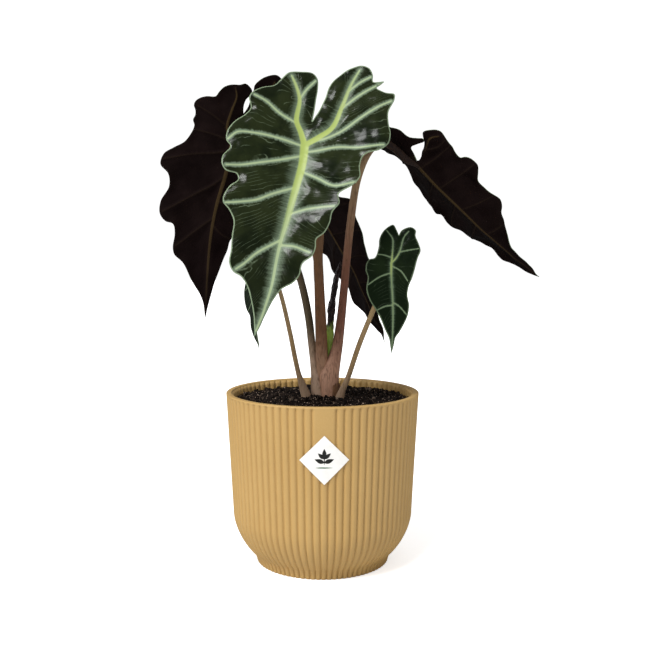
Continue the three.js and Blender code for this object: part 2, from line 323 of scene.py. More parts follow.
@dataclass
class Graph:
    """Adds nodes to one node tree and wires them."""

    tree: bpy.types.NodeTree

    def add(self, kind: str, inputs: dict | None = None, **settings: object) -> bpy.types.Node:
        """Adds a node.

        Args:
            kind: Blender's node type name.
            inputs: A value or an output socket for each named or numbered input.
            settings: The node's own properties.

        Returns:
            The new node.
        """
        node = self.tree.nodes.new(kind)
        for key, value in settings.items():
            setattr(node, key, value)
        for key, value in (inputs or {}).items():
            self.feed(node.inputs[key], value)
        return node

    def feed(self, socket: bpy.types.NodeSocket, value: object) -> None:
        """Wires an output socket into an input, or sets the input's own value.

        Args:
            socket: The input.
            value: An output socket, a number, a vector or a colour.
        """
        if isinstance(value, bpy.types.NodeSocket):
            self.tree.links.new(value, socket)
        elif socket.type == "RGBA" and len(value) == 3:
            socket.default_value = (*value, 1.0)
        else:
            socket.default_value = value

    def math(self, operation: str, a: object, b: object = 0.0) -> bpy.types.NodeSocket:
        """The result of a Math node."""
        return self.add("ShaderNodeMath", {0: a, 1: b}, operation=operation).outputs[0]

    def times(self, a: object, b: object) -> bpy.types.NodeSocket:
        """The product of two values."""
        return self.math("MULTIPLY", a, b)

    def plus(self, a: object, b: object) -> bpy.types.NodeSocket:
        """The sum of two values."""
        return self.math("ADD", a, b)

    def minus(self, a: object, b: object) -> bpy.types.NodeSocket:
        """The first value less the second."""
        return self.math("SUBTRACT", a, b)

    def remap(
        self, value: object, low: float, high: float, start: float = 0.0, end: float = 1.0
    ) -> bpy.types.NodeSocket:
        """The value carried smoothly from low..high to start..end, and held outside them."""
        inputs = {"Value": value, "From Min": low, "From Max": high, "To Min": start, "To Max": end}
        return self.add("ShaderNodeMapRange", inputs, interpolation_type="SMOOTHSTEP").outputs[0]

    def mix(self, share: object, a: object, b: object) -> bpy.types.NodeSocket:
        """Blends two colours.

        Args:
            share: How much of the second colour shows, from 0 to 1.
            a: The first colour.
            b: The second colour.

        Returns:
            The blended colour.
        """
        node = self.add("ShaderNodeMix", {0: share}, data_type="RGBA")
        self.feed(node.inputs[6], a)
        self.feed(node.inputs[7], b)
        return node.outputs[2]

    def noise(
        self, vector: bpy.types.NodeSocket, scale: object, detail: float = 3.0, roughness: float = 0.55
    ) -> bpy.types.NodeSocket:
        """The value of a Noise Texture, about 0.5 on average."""
        inputs = {"Vector": vector, "Scale": scale, "Detail": detail, "Roughness": roughness}
        return self.add("ShaderNodeTexNoise", inputs).outputs["Fac"]

    def attribute(self, name: str, output: str = "Fac") -> bpy.types.NodeSocket:
        """A field stored on the mesh."""
        return self.add("ShaderNodeAttribute", attribute_name=name).outputs[output]

    def lengthwise(self, vector: bpy.types.NodeSocket, share: float) -> bpy.types.NodeSocket:
        """The vector with its height shrunk, which draws a texture out upwards."""
        return self.add("ShaderNodeMapping", {"Vector": vector, "Scale": (1.0, 1.0, share)}).outputs[0]

    def plane(self, x: object, y: object) -> bpy.types.NodeSocket:
        """A vector with two given parts."""
        return self.add("ShaderNodeCombineXYZ", {"X": x, "Y": y}).outputs[0]

    def split(self, vector: bpy.types.NodeSocket) -> tuple[bpy.types.NodeSocket, ...]:
        """The vector's three parts."""
        return tuple(self.add("ShaderNodeSeparateXYZ", {"Vector": vector}).outputs)

    def place(self) -> bpy.types.NodeSocket:
        """The place on the object, in metres."""
        return self.add("ShaderNodeTexCoord").outputs["Object"]

    def light_path(self, kind: str) -> bpy.types.NodeSocket:
        """1 for rays of a kind and 0 for all others."""
        return self.add("ShaderNodeLightPath").outputs[f"Is {kind} Ray"]

    def coat(self, color: object, rough: object, specular: float = 0.5) -> None:
        """Gives a material's surface its colour and gloss.

        Args:
            color: Its base colour.
            rough: Its roughness.
            specular: How strongly it mirrors when seen straight on.
        """
        shader = self.tree.nodes["Principled BSDF"]
        self.feed(shader.inputs["Base Color"], color)
        self.feed(shader.inputs["Roughness"], rough)
        shader.inputs["Specular IOR Level"].default_value = specular

    def bump(self, height: bpy.types.NodeSocket, depth: float, strength: float = 1.0) -> None:
        """Gives a material's surface relief from a height between 0 and 1, depth metres deep."""
        relief = self.add("ShaderNodeBump", {"Height": height, "Distance": depth, "Strength": strength})
        self.feed(self.tree.nodes["Principled BSDF"].inputs["Normal"], relief.outputs[0])


def new_group(name: str, inputs: dict[str, str], outputs: dict[str, str]) -> tuple[Graph, dict, dict]:
    """Starts a shader node group.

    Args:
        name: The group's name.
        inputs: Socket type of each input, by name.
        outputs: Socket type of each output, by name.

    Returns:
        The graph to build in, its input values by name and its output sockets by name.
    """
    tree = bpy.data.node_groups.new(name, "ShaderNodeTree")
    for key, kind in inputs.items():
        tree.interface.new_socket(key, in_out="INPUT", socket_type=kind)
    for key, kind in outputs.items():
        tree.interface.new_socket(key, in_out="OUTPUT", socket_type=kind)
    given = tree.nodes.new("NodeGroupInput")
    result = tree.nodes.new("NodeGroupOutput")
    return (
        Graph(tree),
        {key: given.outputs[key] for key in inputs},
        {key: result.inputs[key] for key in outputs},
    )


FLOAT = "NodeSocketFloat"
VECTOR = "NodeSocketVector"


class Effect(Enum):
    """Shader effects that several finishes share. Each is built once, as a node group."""

    GRAIN = "surface_grain"
    VEINS = "main_veins"
    HAIR_VEINS = "hair_veins"

    def tree(self) -> bpy.types.NodeTree:
        """The effect's node group, built when it is first asked for.

        Returns:
            The shared group.
        """
        found = bpy.data.node_groups.get(self.value)
        if found:
            return found
        builders: dict[Effect, Callable[[], bpy.types.NodeTree]] = {
            Effect.GRAIN: build_grain_group,
            Effect.VEINS: build_vein_group,
            Effect.HAIR_VEINS: build_hair_vein_group,
        }
        return builders[self]()

    def use(self, graph: Graph, **inputs: object) -> bpy.types.Node:
        """Places the effect in a material.

        Args:
            graph: The material's graph.
            inputs: A value or an output socket for each of the group's inputs.

        Returns:
            The group node, with the effect's outputs.
        """
        node = graph.add("ShaderNodeGroup", node_tree=self.tree())
        for key, value in inputs.items():
            graph.feed(node.inputs[key.replace("_", " ").capitalize()], value)
        return node


def build_grain_group() -> bpy.types.NodeTree:
    """Cloudy colour change over a fine grain, for any dull surface.

    Returns:
        The group, with outputs Cloud, Grain and Height.
    """
    graph, given, result = new_group(
        Effect.GRAIN.value,
        {"Vector": VECTOR, "Cloud size": FLOAT, "Grain size": FLOAT},
        {"Cloud": FLOAT, "Grain": FLOAT, "Height": FLOAT},
    )
    cloud = graph.noise(given["Vector"], graph.math("DIVIDE", 1.0, given["Cloud size"]), 4)
    grain = graph.noise(given["Vector"], graph.math("DIVIDE", 1.0, given["Grain size"]), 3, 0.7)
    graph.feed(result["Cloud"], graph.remap(cloud, 0.3, 0.7))
    graph.feed(result["Grain"], graph.remap(grain, 0.3, 0.7))
    graph.feed(result["Height"], graph.plus(graph.times(cloud, 0.35), graph.times(grain, 0.65)))
    return graph.tree


def build_vein_group() -> bpy.types.NodeTree:
    """A vein's pale band, feathered across the vein, and the narrow line inside it.

    Returns:
        The group, with outputs Halo and Line.
    """
    graph, given, result = new_group(
        Effect.VEINS.value,
        {"Ratio": FLOAT, "Run": FLOAT, "Feather": FLOAT, "Core": FLOAT},
        {"Halo": FLOAT, "Line": FLOAT},
    )
    barbs = graph.noise(graph.plane(given["Run"], graph.times(given["Ratio"], 0.4)), 0.6, 4, 0.75)
    shift = graph.times(graph.minus(barbs, 0.5), given["Feather"])
    graph.feed(result["Halo"], graph.remap(graph.plus(given["Ratio"], shift), 1.15, 0.3))
    core = graph.math("DIVIDE", given["Ratio"], given["Core"])
    graph.feed(result["Line"], graph.remap(core, 1.2, 0.7))
    return graph.tree


def build_hair_vein_group() -> bpy.types.NodeTree:
    """Hair-thin veins that leave the midrib and run beside the main side veins.

    Returns:
        The group, with output Line.
    """
    graph, given, result = new_group(
        Effect.HAIR_VEINS.value,
        {"Flow": FLOAT, "Vector": VECTOR, "Spacing": FLOAT, "Width": FLOAT},
        {"Line": FLOAT},
    )
    sway = graph.minus(graph.noise(given["Vector"], 0.09, 3), 0.5)
    flow = graph.plus(given["Flow"], graph.times(sway, 4.0))
    turn = graph.math("FRACT", graph.math("DIVIDE", flow, given["Spacing"]))
    offset = graph.times(graph.math("ABSOLUTE", graph.minus(turn, 0.5)), given["Spacing"])
    line = graph.remap(graph.math("DIVIDE", offset, given["Width"]), 1.6, 0.4)
    patchy = graph.remap(graph.noise(given["Vector"], 0.11, 2), 0.42, 0.6)
    graph.feed(result["Line"], graph.times(line, patchy))
    return graph.tree


# ---------------------------------------------------------------- finishes


@dataclass(frozen=True)
class Finish:
    """What every finish has: a name, and a Principled material to wire."""

    name: str

    def build(self) -> bpy.types.Material:
        """The finish as a material, made when it is first asked for.

        Returns:
            The material, with this finish's name.
        """
        found = bpy.data.materials.get(self.name)
        if found:
            return found
        material = bpy.data.materials.new(self.name)
        material.use_nodes = True
        self.wire(Graph(material.node_tree))
        return material

    def wire(self, graph: Graph) -> None:
        """Wires the material. Each finish has its own."""
        raise NotImplementedError

    @staticmethod
    def grain(graph: Graph, cloud_size: float, grain_size: float) -> tuple[bpy.types.NodeSocket, ...]:
        """Cloud, grain and height of the shared grain, with both sizes in metres."""
        node = Effect.GRAIN.use(graph, vector=graph.place(), cloud_size=cloud_size, grain_size=grain_size)
        return tuple(node.outputs)


@dataclass(frozen=True)
class PotFinish(Finish):
    """Matt through-coloured pot with a faint cloud and a fine moulded grain."""

    color: Color = (0.5, 0.317, 0.109)
    shade: Color = (0.45, 0.276, 0.089)
    roughness: float = 0.5
    grain_depth: float = 0.00012

    def wire(self, graph: Graph) -> None:
        """Wires the cloudy colour, the uneven gloss and the grain.

        Args:
            graph: The material's graph.
        """
        cloud, grain, height = self.grain(graph, 0.045, 0.0011)
        share = graph.plus(graph.times(cloud, 0.5), graph.times(grain, 0.25))
        rough = graph.remap(grain, 0, 1, self.roughness - 0.05, self.roughness + 0.08)
        graph.coat(graph.mix(share, self.color, self.shade), rough)
        graph.bump(height, self.grain_depth)


@dataclass(frozen=True)
class SoilFinish(Finish):
    """Damp, nearly black potting mix, with a few tan fibres and pale grains of grit."""

    dark: Color = (0.0015, 0.0009, 0.0008)
    brown: Color = (0.026, 0.0145, 0.01)
    pale: Color = (0.34, 0.25, 0.19)
    pale_limit: float = 0.14
    grit_per_metre: float = 1500.0
    crumb_depth: float = 0.0006

    def wire(self, graph: Graph) -> None:
        """Wires clump colours, pale specks and the crumbly relief.

        Args:
            graph: The material's graph.
        """
        cloud, grain, height = self.grain(graph, 0.004, 0.0008)
        cells = graph.add("ShaderNodeTexVoronoi", {"Vector": graph.place(), "Scale": self.grit_per_metre})
        speck = graph.math("LESS_THAN", cells.outputs["Color"], self.pale_limit)
        color = graph.mix(speck, graph.mix(cloud, self.dark, self.brown), self.pale)
        graph.coat(color, graph.remap(grain, 0, 1, 0.45, 0.9), 0.1)
        graph.bump(height, self.crumb_depth)


@dataclass(frozen=True)
class StalkFinish(Finish):
    """Fleshy stalk: streaked lengthwise and finely mottled, with four tones from foot to blade."""

    foot: Color = (0.54, 0.32, 0.205)
    low: Color = (0.165, 0.072, 0.031)
    high: Color = (0.13, 0.078, 0.036)
    neck: Color = (0.06, 0.035, 0.018)
    streak: Color = (0.06, 0.03, 0.014)
    foot_end: float = 0.27
    neck_start: float = 0.8
    neck_blend: float = 0.14
    roughness: float = 0.4
    fibre_depth: float = 0.0003

    def wire(self, graph: Graph) -> None:
        """Wires the tones along the stalk, the streaks, the mottles and the fibrous relief.

        Args:
            graph: The material's graph.
        """
        place = graph.place()
        fibres = graph.noise(graph.lengthwise(place, 0.04), 1300.0, 3)
        mottle = graph.noise(graph.lengthwise(place, 0.4), 480.0, 4, 0.65)
        cloud = graph.times(graph.minus(graph.noise(place, 160.0, 2), 0.5), 0.1)
        height = graph.plus(graph.attribute("along"), cloud)
        tones = (
            (0.3 * self.foot_end, self.foot_end, self.low),
            (0.35, 0.75, self.high),
            (self.neck_start, self.neck_start + self.neck_blend, self.neck),
        )
        body: object = self.foot
        for start, end, tone in tones:
            body = graph.mix(graph.remap(height, start, end), body, tone)
        body = graph.mix(graph.remap(fibres, 0.45, 0.75, 0.0, 0.55), body, self.streak)
        body = graph.mix(graph.remap(mottle, 0.54, 0.7, 0.0, 0.5), body, self.streak)
        rough = graph.remap(mottle, 0.3, 0.7, self.roughness - 0.06, self.roughness + 0.12)
        graph.coat(body, rough, 0.2)
        graph.bump(fibres, self.fibre_depth, 0.7)


@dataclass(frozen=True)
class BladeFinish(Finish):
    """One side of a leaf blade: dark flesh, pale main veins, hair veins and a pale edge.

    The mesh gives it three fields. flat is the place on the flat leaf. vein holds the distance to
    the nearest vein over its half width, the way along that vein, and the distance to the midrib
    and ribs alone. field holds the distance to the margin, the flow and the yellow glow's reach.
    """

    flesh: Color = (0.0058, 0.0092, 0.0036)
    flesh_light: Color = (0.0165, 0.0222, 0.0075)
    halo: Color = (0.175, 0.235, 0.155)
    line: Color = (0.33, 0.41, 0.23)
    rib: Color = (0.33, 0.41, 0.11)
    hair: Color = (0.16, 0.21, 0.13)
    edge: Color = (0.27, 0.35, 0.22)
    feather: float = 1.5
    core: float = 0.28
    rib_core: float = 0.5
    rib_reach: float = 1.0
    hair_share: float = 0.4
    band_share: float = 0.5
    roughness: float = 0.17
    specular: float = 0.15
    fold_depth: float = 0.0002

    def wire(self, graph: Graph) -> None:
        """Wires the flesh, the veins over it, the gloss and the fine relief.

        Args:
            graph: The material's graph.
        """
        flat = graph.attribute("flat", "Vector")
        ratio, run, rib_ratio = graph.split(graph.attribute("vein", "Vector"))
        margin, flow, glow = graph.split(graph.attribute("field", "Vector"))
        veins = self.veins(graph, ratio, run, self.core)
        ribs = self.veins(graph, rib_ratio, run, self.rib_core)
        band = self.veins(graph, graph.times(rib_ratio, 0.6), run, self.rib_core)

        hairs = Effect.HAIR_VEINS.use(graph, flow=flow, vector=flat, spacing=3.4, width=0.13)
        cloud = graph.remap(graph.noise(flat, 0.06, 4), 0.3, 0.65)
        cloud = graph.times(cloud, graph.remap(glow, 1.7, 0.5))
        color = graph.mix(cloud, self.flesh, self.flesh_light)
        color = graph.mix(graph.times(hairs.outputs["Line"], self.hair_share), color, self.hair)
        rim = graph.plus(margin, graph.times(graph.noise(flat, 0.3, 3), 0.5))
        color = graph.mix(graph.remap(rim, 1.3, 0.5, 0.0, 0.85), color, self.edge)

        broad = graph.times(band["Halo"], self.band_share)
        halo = graph.math("MAXIMUM", broad, graph.times(veins["Halo"], 0.9))
        color = graph.mix(halo, color, self.halo)
        color = graph.mix(graph.times(veins["Line"], 0.85), color, self.line)
        near = graph.remap(glow, self.rib_reach, 0.1 * self.rib_reach)
        near = graph.times(near, graph.remap(margin, 1, 6))
        color = graph.mix(graph.times(ribs["Line"], near), color, self.rib)

        rough = graph.noise(flat, 0.35, 4)
        rough = graph.remap(rough, 0.3, 0.7, self.roughness - 0.04, self.roughness + 0.07)
        rough = graph.plus(rough, graph.times(veins["Halo"], 0.14))
        graph.coat(color, rough, self.specular)
        folds = graph.noise(graph.plane(flow, graph.times(margin, 0.12)), 0.4, 3, 0.5)
        graph.bump(folds, self.fold_depth)

    def veins(self, graph: Graph, ratio: object, run: object, core: float) -> bpy.types.bpy_prop_collection:
        """Halo and Line of the shared vein effect, with this finish's feathering."""
        return Effect.VEINS.use(graph, ratio=ratio, run=run, feather=self.feather, core=core).outputs


@dataclass(frozen=True)
class LabelFinish(Finish):
    """Uncoated paper with a faint fibre."""

    color: Color = (0.86, 0.85, 0.82)
    fibre_depth: float = 0.00003

    def wire(self, graph: Graph) -> None:
        """Wires the fibre's colour change and relief.

        Args:
            graph: The material's graph.
        """
        cloud, grain, height = self.grain(graph, 0.006, 0.0005)
        darker = tuple(0.93 * channel for channel in self.color)
        graph.coat(graph.mix(cloud, self.color, darker), graph.remap(grain, 0, 1, 0.55, 0.7))
        graph.bump(height, self.fibre_depth)


@dataclass(frozen=True)
class InkFinish(Finish):
    """Matt printing ink, a little uneven."""

    color: Color = (0.012, 0.013, 0.012)
    grain_depth: float = 0.00002

    def wire(self, graph: Graph) -> None:
        """Wires the ink's unevenness.

        Args:
            graph: The material's graph.
        """
        cloud, grain, height = self.grain(graph, 0.002, 0.0003)
        paler = tuple(1.5 * channel for channel in self.color)
        graph.coat(graph.mix(cloud, self.color, paler), graph.remap(grain, 0, 1, 0.45, 0.6))
        graph.bump(height, self.grain_depth)


@dataclass(frozen=True)
class DryFinish(Finish):
    """Papery brown plant skin: streaked, dull and wrinkled."""

    color: Color = (0.16, 0.085, 0.04)
    dark: Color = (0.05, 0.028, 0.015)
    wrinkle_depth: float = 0.0006

    def wire(self, graph: Graph) -> None:
        """Wires streaks along the plant and their relief.

        Args:
            graph: The material's graph.
        """
        streaks = graph.noise(graph.lengthwise(graph.place(), 0.12), 1400.0, 4, 0.65)
        cloud, grain, _ = self.grain(graph, 0.005, 0.0008)
        share = graph.times(graph.remap(streaks, 0.35, 0.65), cloud)
        graph.coat(graph.mix(share, self.color, self.dark), graph.remap(grain, 0, 1, 0.6, 0.85))
        graph.bump(streaks, self.wrinkle_depth)


@dataclass(frozen=True)
class FurledFinish(Finish):
    """Young rolled leaf: fresh green at its base and dark purple above, glossy."""

    green: Color = (0.33, 0.48, 0.075)
    dark: Color = (0.012, 0.0055, 0.0065)
    roll: Color = (0.05, 0.032, 0.026)
    crease_depth: float = 0.0007

    def wire(self, graph: Graph) -> None:
        """Wires the change from green to dark, the roll's streaks and the creases.

        Args:
            graph: The material's graph.
        """
        creases = graph.noise(graph.lengthwise(graph.place(), 0.35), 420.0, 3, 0.6)
        height = graph.plus(graph.attribute("along"), graph.times(graph.minus(creases, 0.5), 0.25))
        upper = graph.mix(graph.remap(creases, 0.5, 0.66), self.dark, self.roll)
        color = graph.mix(graph.remap(height, 0.43, 0.51), self.green, upper)
        graph.coat(color, graph.remap(creases, 0.3, 0.7, 0.22, 0.38), 0.45)
        graph.bump(creases, self.crease_depth)


LEAF_FACE = BladeFinish("leaf_face")
YOUNG_LEAF_FACE = BladeFinish(
    "young_leaf_face",
    flesh=(0.0045, 0.0085, 0.0036),
    flesh_light=(0.009, 0.0155, 0.006),
    halo=(0.085, 0.125, 0.075),
    line=(0.15, 0.195, 0.1),
    rib=(0.22, 0.28, 0.1),
    edge=(0.11, 0.15, 0.085),
    rib_core=0.42,
    hair_share=0.15,
    band_share=0.2,
    specular=0.06,
)
LEAF_UNDERSIDE = BladeFinish(
    "leaf_underside",
    flesh=(0.0058, 0.0031, 0.003),
    flesh_light=(0.01, 0.0056, 0.0052),
    halo=(0.0085, 0.0046, 0.0042),
    line=(0.014, 0.0085, 0.006),
    rib=(0.048, 0.031, 0.013),
    hair=(0.0105, 0.006, 0.0055),
    edge=(0.012, 0.008, 0.006),
    feather=0.4,
    core=0.25,
    rib_core=0.25,
    rib_reach=2.4,
    band_share=0.0,
    roughness=0.45,
    specular=0.02,
)
BROWN_STALK = StalkFinish("stalk_brown")
OLIVE_STALK = StalkFinish(
    "stalk_olive",
    foot=(0.54, 0.37, 0.26),
    low=(0.085, 0.064, 0.036),
    high=(0.1, 0.074, 0.04),
)
RED_STALK = StalkFinish(
    "stalk_red",
    foot=(0.54, 0.3, 0.2),
    low=(0.2, 0.08, 0.05),
    high=(0.27, 0.18, 0.095),
    neck=(0.02, 0.011, 0.009),
    neck_start=0.73,
)
TAN_STALK = StalkFinish(
    "stalk_tan",
    foot=(0.4, 0.27, 0.18),
    low=(0.33, 0.22, 0.105),
    high=(0.33, 0.23, 0.11),
    neck=(0.25, 0.19, 0.09),
    streak=(0.15, 0.095, 0.045),
)


# ---------------------------------------------------------------- pot, label and soil


@dataclass
class FlutedPot:
    """Round pot with reeded walls inside and out, a bowl-shaped lower part and a foot."""

    rim_radius: float
    height: float
    soil_level: float
    reeds: int = 80
    reed_depth: float = 1.5
    reed_power: float = 3.0
    panel_reeds: int = 3
    panel_turn: float = 1.0
    panel_bottom: float = 88.5
    shoulder_radius: float = 65.3
    shoulder_height: float = 38.0
    waist_radius: float = 50.9
    waist_height: float = 7.4
    foot_radius: float = 48.2
    wall: float = 4.0
    floor: float = 4.0
    lip_radius: float = 0.8
    samples: int = 12

    def wall_radius(self, z: float) -> float:
        """Outer radius of the straight wall at a height, in millimetres."""
        share = (z - self.shoulder_height) / (self.height - self.shoulder_height)
        return self.shoulder_radius + (self.rim_radius - self.shoulder_radius) * share

    def bowl(self) -> np.ndarray:
        """The curved lower part, from the waist to the shoulder.

        Returns:
            Radius and height along it.
        """
        ends = np.array(
            [
                (self.waist_radius, self.waist_height),
                (self.waist_radius + 6.7, self.waist_height + 5.6),
                (self.shoulder_radius + 0.1, self.shoulder_height - 11.5),
                (self.shoulder_radius, self.shoulder_height),
            ]
        )
        t = np.linspace(0, 1, 22)[:, None]
        weights = np.hstack([(1 - t) ** 3, 3 * t * (1 - t) ** 2, 3 * t**2 * (1 - t), t**3])
        return weights @ ends

    def reed_profile(self, has_panel: bool) -> np.ndarray:
        """How far the surface lies below the reeds' crests around the pot.

        Args:
            has_panel: Whether the smooth front panel takes the place of its reeds.

        Returns:
            A share of the reeds' depth for each point of a ring.
        """
        turn = np.arange(self.reeds * self.samples) / self.samples
        across = np.abs((turn + 0.5) % 1 - 0.5) * 2
        depth = across**self.reed_power
        if has_panel:
            from_front = np.abs((turn / self.reeds + 0.75) % 1 - 0.5) * self.reeds
            depth[from_front < self.panel_reeds / 2 - 0.4] = 0
        return depth

    def rings(self) -> list[tuple[float, float, float]]:
        """Every ring of the pot, from under the foot over the rim to the inner floor.

        Returns:
            Radius, height and share of the reeds' depth for each ring. The share is below zero on
            the inner wall, where the reeds stand out towards the middle.
        """
        top = self.height
        outside = [(self.foot_radius - 0.7, 0.0, 0.6), (self.foot_radius - 0.15, 0.25, 0.9)]
        for z in np.linspace(0.9, self.waist_height - 0.5, 8):
            share = z / self.waist_height
            outside.append((self.foot_radius + (self.waist_radius - self.foot_radius) * share**1.6, z, 1.0))
        outside += [(r, z, 1.0) for r, z in self.bowl()]
        straight = np.linspace(self.shoulder_height + 3, top - 2.6, 22)
        outside += [(self.wall_radius(z), z, 1.0) for z in straight]
        lip = [
            (self.wall_radius(top - 1.9), top - 1.9, 0.85),
            (self.rim_radius - 0.02, top - 1.3, 0.35),
            (self.rim_radius - 0.05, top - 0.9, 0.1),
        ]
        for degrees in (25, 50, 75):
            angle = math.radians(degrees)
            radius = self.rim_radius - self.lip_radius * (1 - math.cos(angle))
            lip.append((radius, top - self.lip_radius * (1 - math.sin(angle)), 0.0))
        lip += [(self.rim_radius - share * self.wall, top, 0.0) for share in (0.22, 0.5, 0.8)]
        inner = self.rim_radius - self.wall
        lip += [(inner + 0.35, top - 0.06, 0.0), (inner + 0.1, top - 0.25, 0.0), (inner, top - 0.7, 0.05)]
        inside = [(inner - 0.05, top - 1.2, -0.35), (inner - 0.1, top - 1.8, -0.9)]
        reeded = np.linspace(top - 2.8, self.soil_level - 6, 9)
        inside += [(self.wall_radius(z) - self.wall, z, -1.0) for z in reeded]
        inside += [
            (self.shoulder_radius - self.wall, self.shoulder_height, 0.0),
            (self.waist_radius, self.waist_height + self.floor + 3, 0.0),
            (self.waist_radius - 8, self.waist_height + self.floor, 0.0),
        ]
        return outside + lip + inside

    def build(self) -> None:
        """Builds the pot and puts it in place."""
        plain, panelled = self.reed_profile(False), self.reed_profile(True)
        count = len(plain)
        angles = 2 * np.pi * np.arange(count) / count + math.radians(self.panel_turn)
        vertices = []
        rings = self.rings()
        for radius, z, share in rings:
            depth = panelled if z > self.panel_bottom and share >= 0 else plain
            below = depth if share >= 0 else 1 - depth
            local = radius - abs(share) * self.reed_depth * below
            ring = [local * np.cos(angles), local * np.sin(angles), np.full(count, z)]
            vertices.append(np.column_stack(ring))
        stacked = np.vstack([*vertices, (0, 0, 0), (0, 0, self.waist_height + self.floor)])
        faces = loft_faces(len(rings), count)
        pot = mesh_object("fluted_pot", stacked * MM, faces, [PotFinish("pot_body").build()])
        dress(pot, "pot", "pot")


def rough_ball() -> tuple[np.ndarray, list[tuple[int, int, int]]]:
    """A ball with twelve corners and twenty flat sides.

    Returns:
        Its corners, at a distance of 1 from the middle, and the corner numbers of each side.
    """
    golden = (1 + 5**0.5) / 2
    corners = [(a, b * golden, 0.0) for a in (-1, 1) for b in (-1, 1)]
    corners = [c for x, y, z in corners for c in ((x, y, z), (z, x, y), (y, z, x))]
    ball = np.array(corners) / math.hypot(1, golden)
    reach = min(np.linalg.norm(ball[0] - other) for other in ball[1:]) * 1.05
    near = np.linalg.norm(ball[:, None] - ball[None], axis=2) < reach
    sides = []
    for i, j, k in combinations(range(len(ball)), 3):
        if near[i, j] and near[j, k] and near[i, k]:
            normal = np.cross(ball[j] - ball[i], ball[k] - ball[i])
            sides.append((i, j, k) if normal @ ball[i] > 0 else (i, k, j))
    return ball, sides


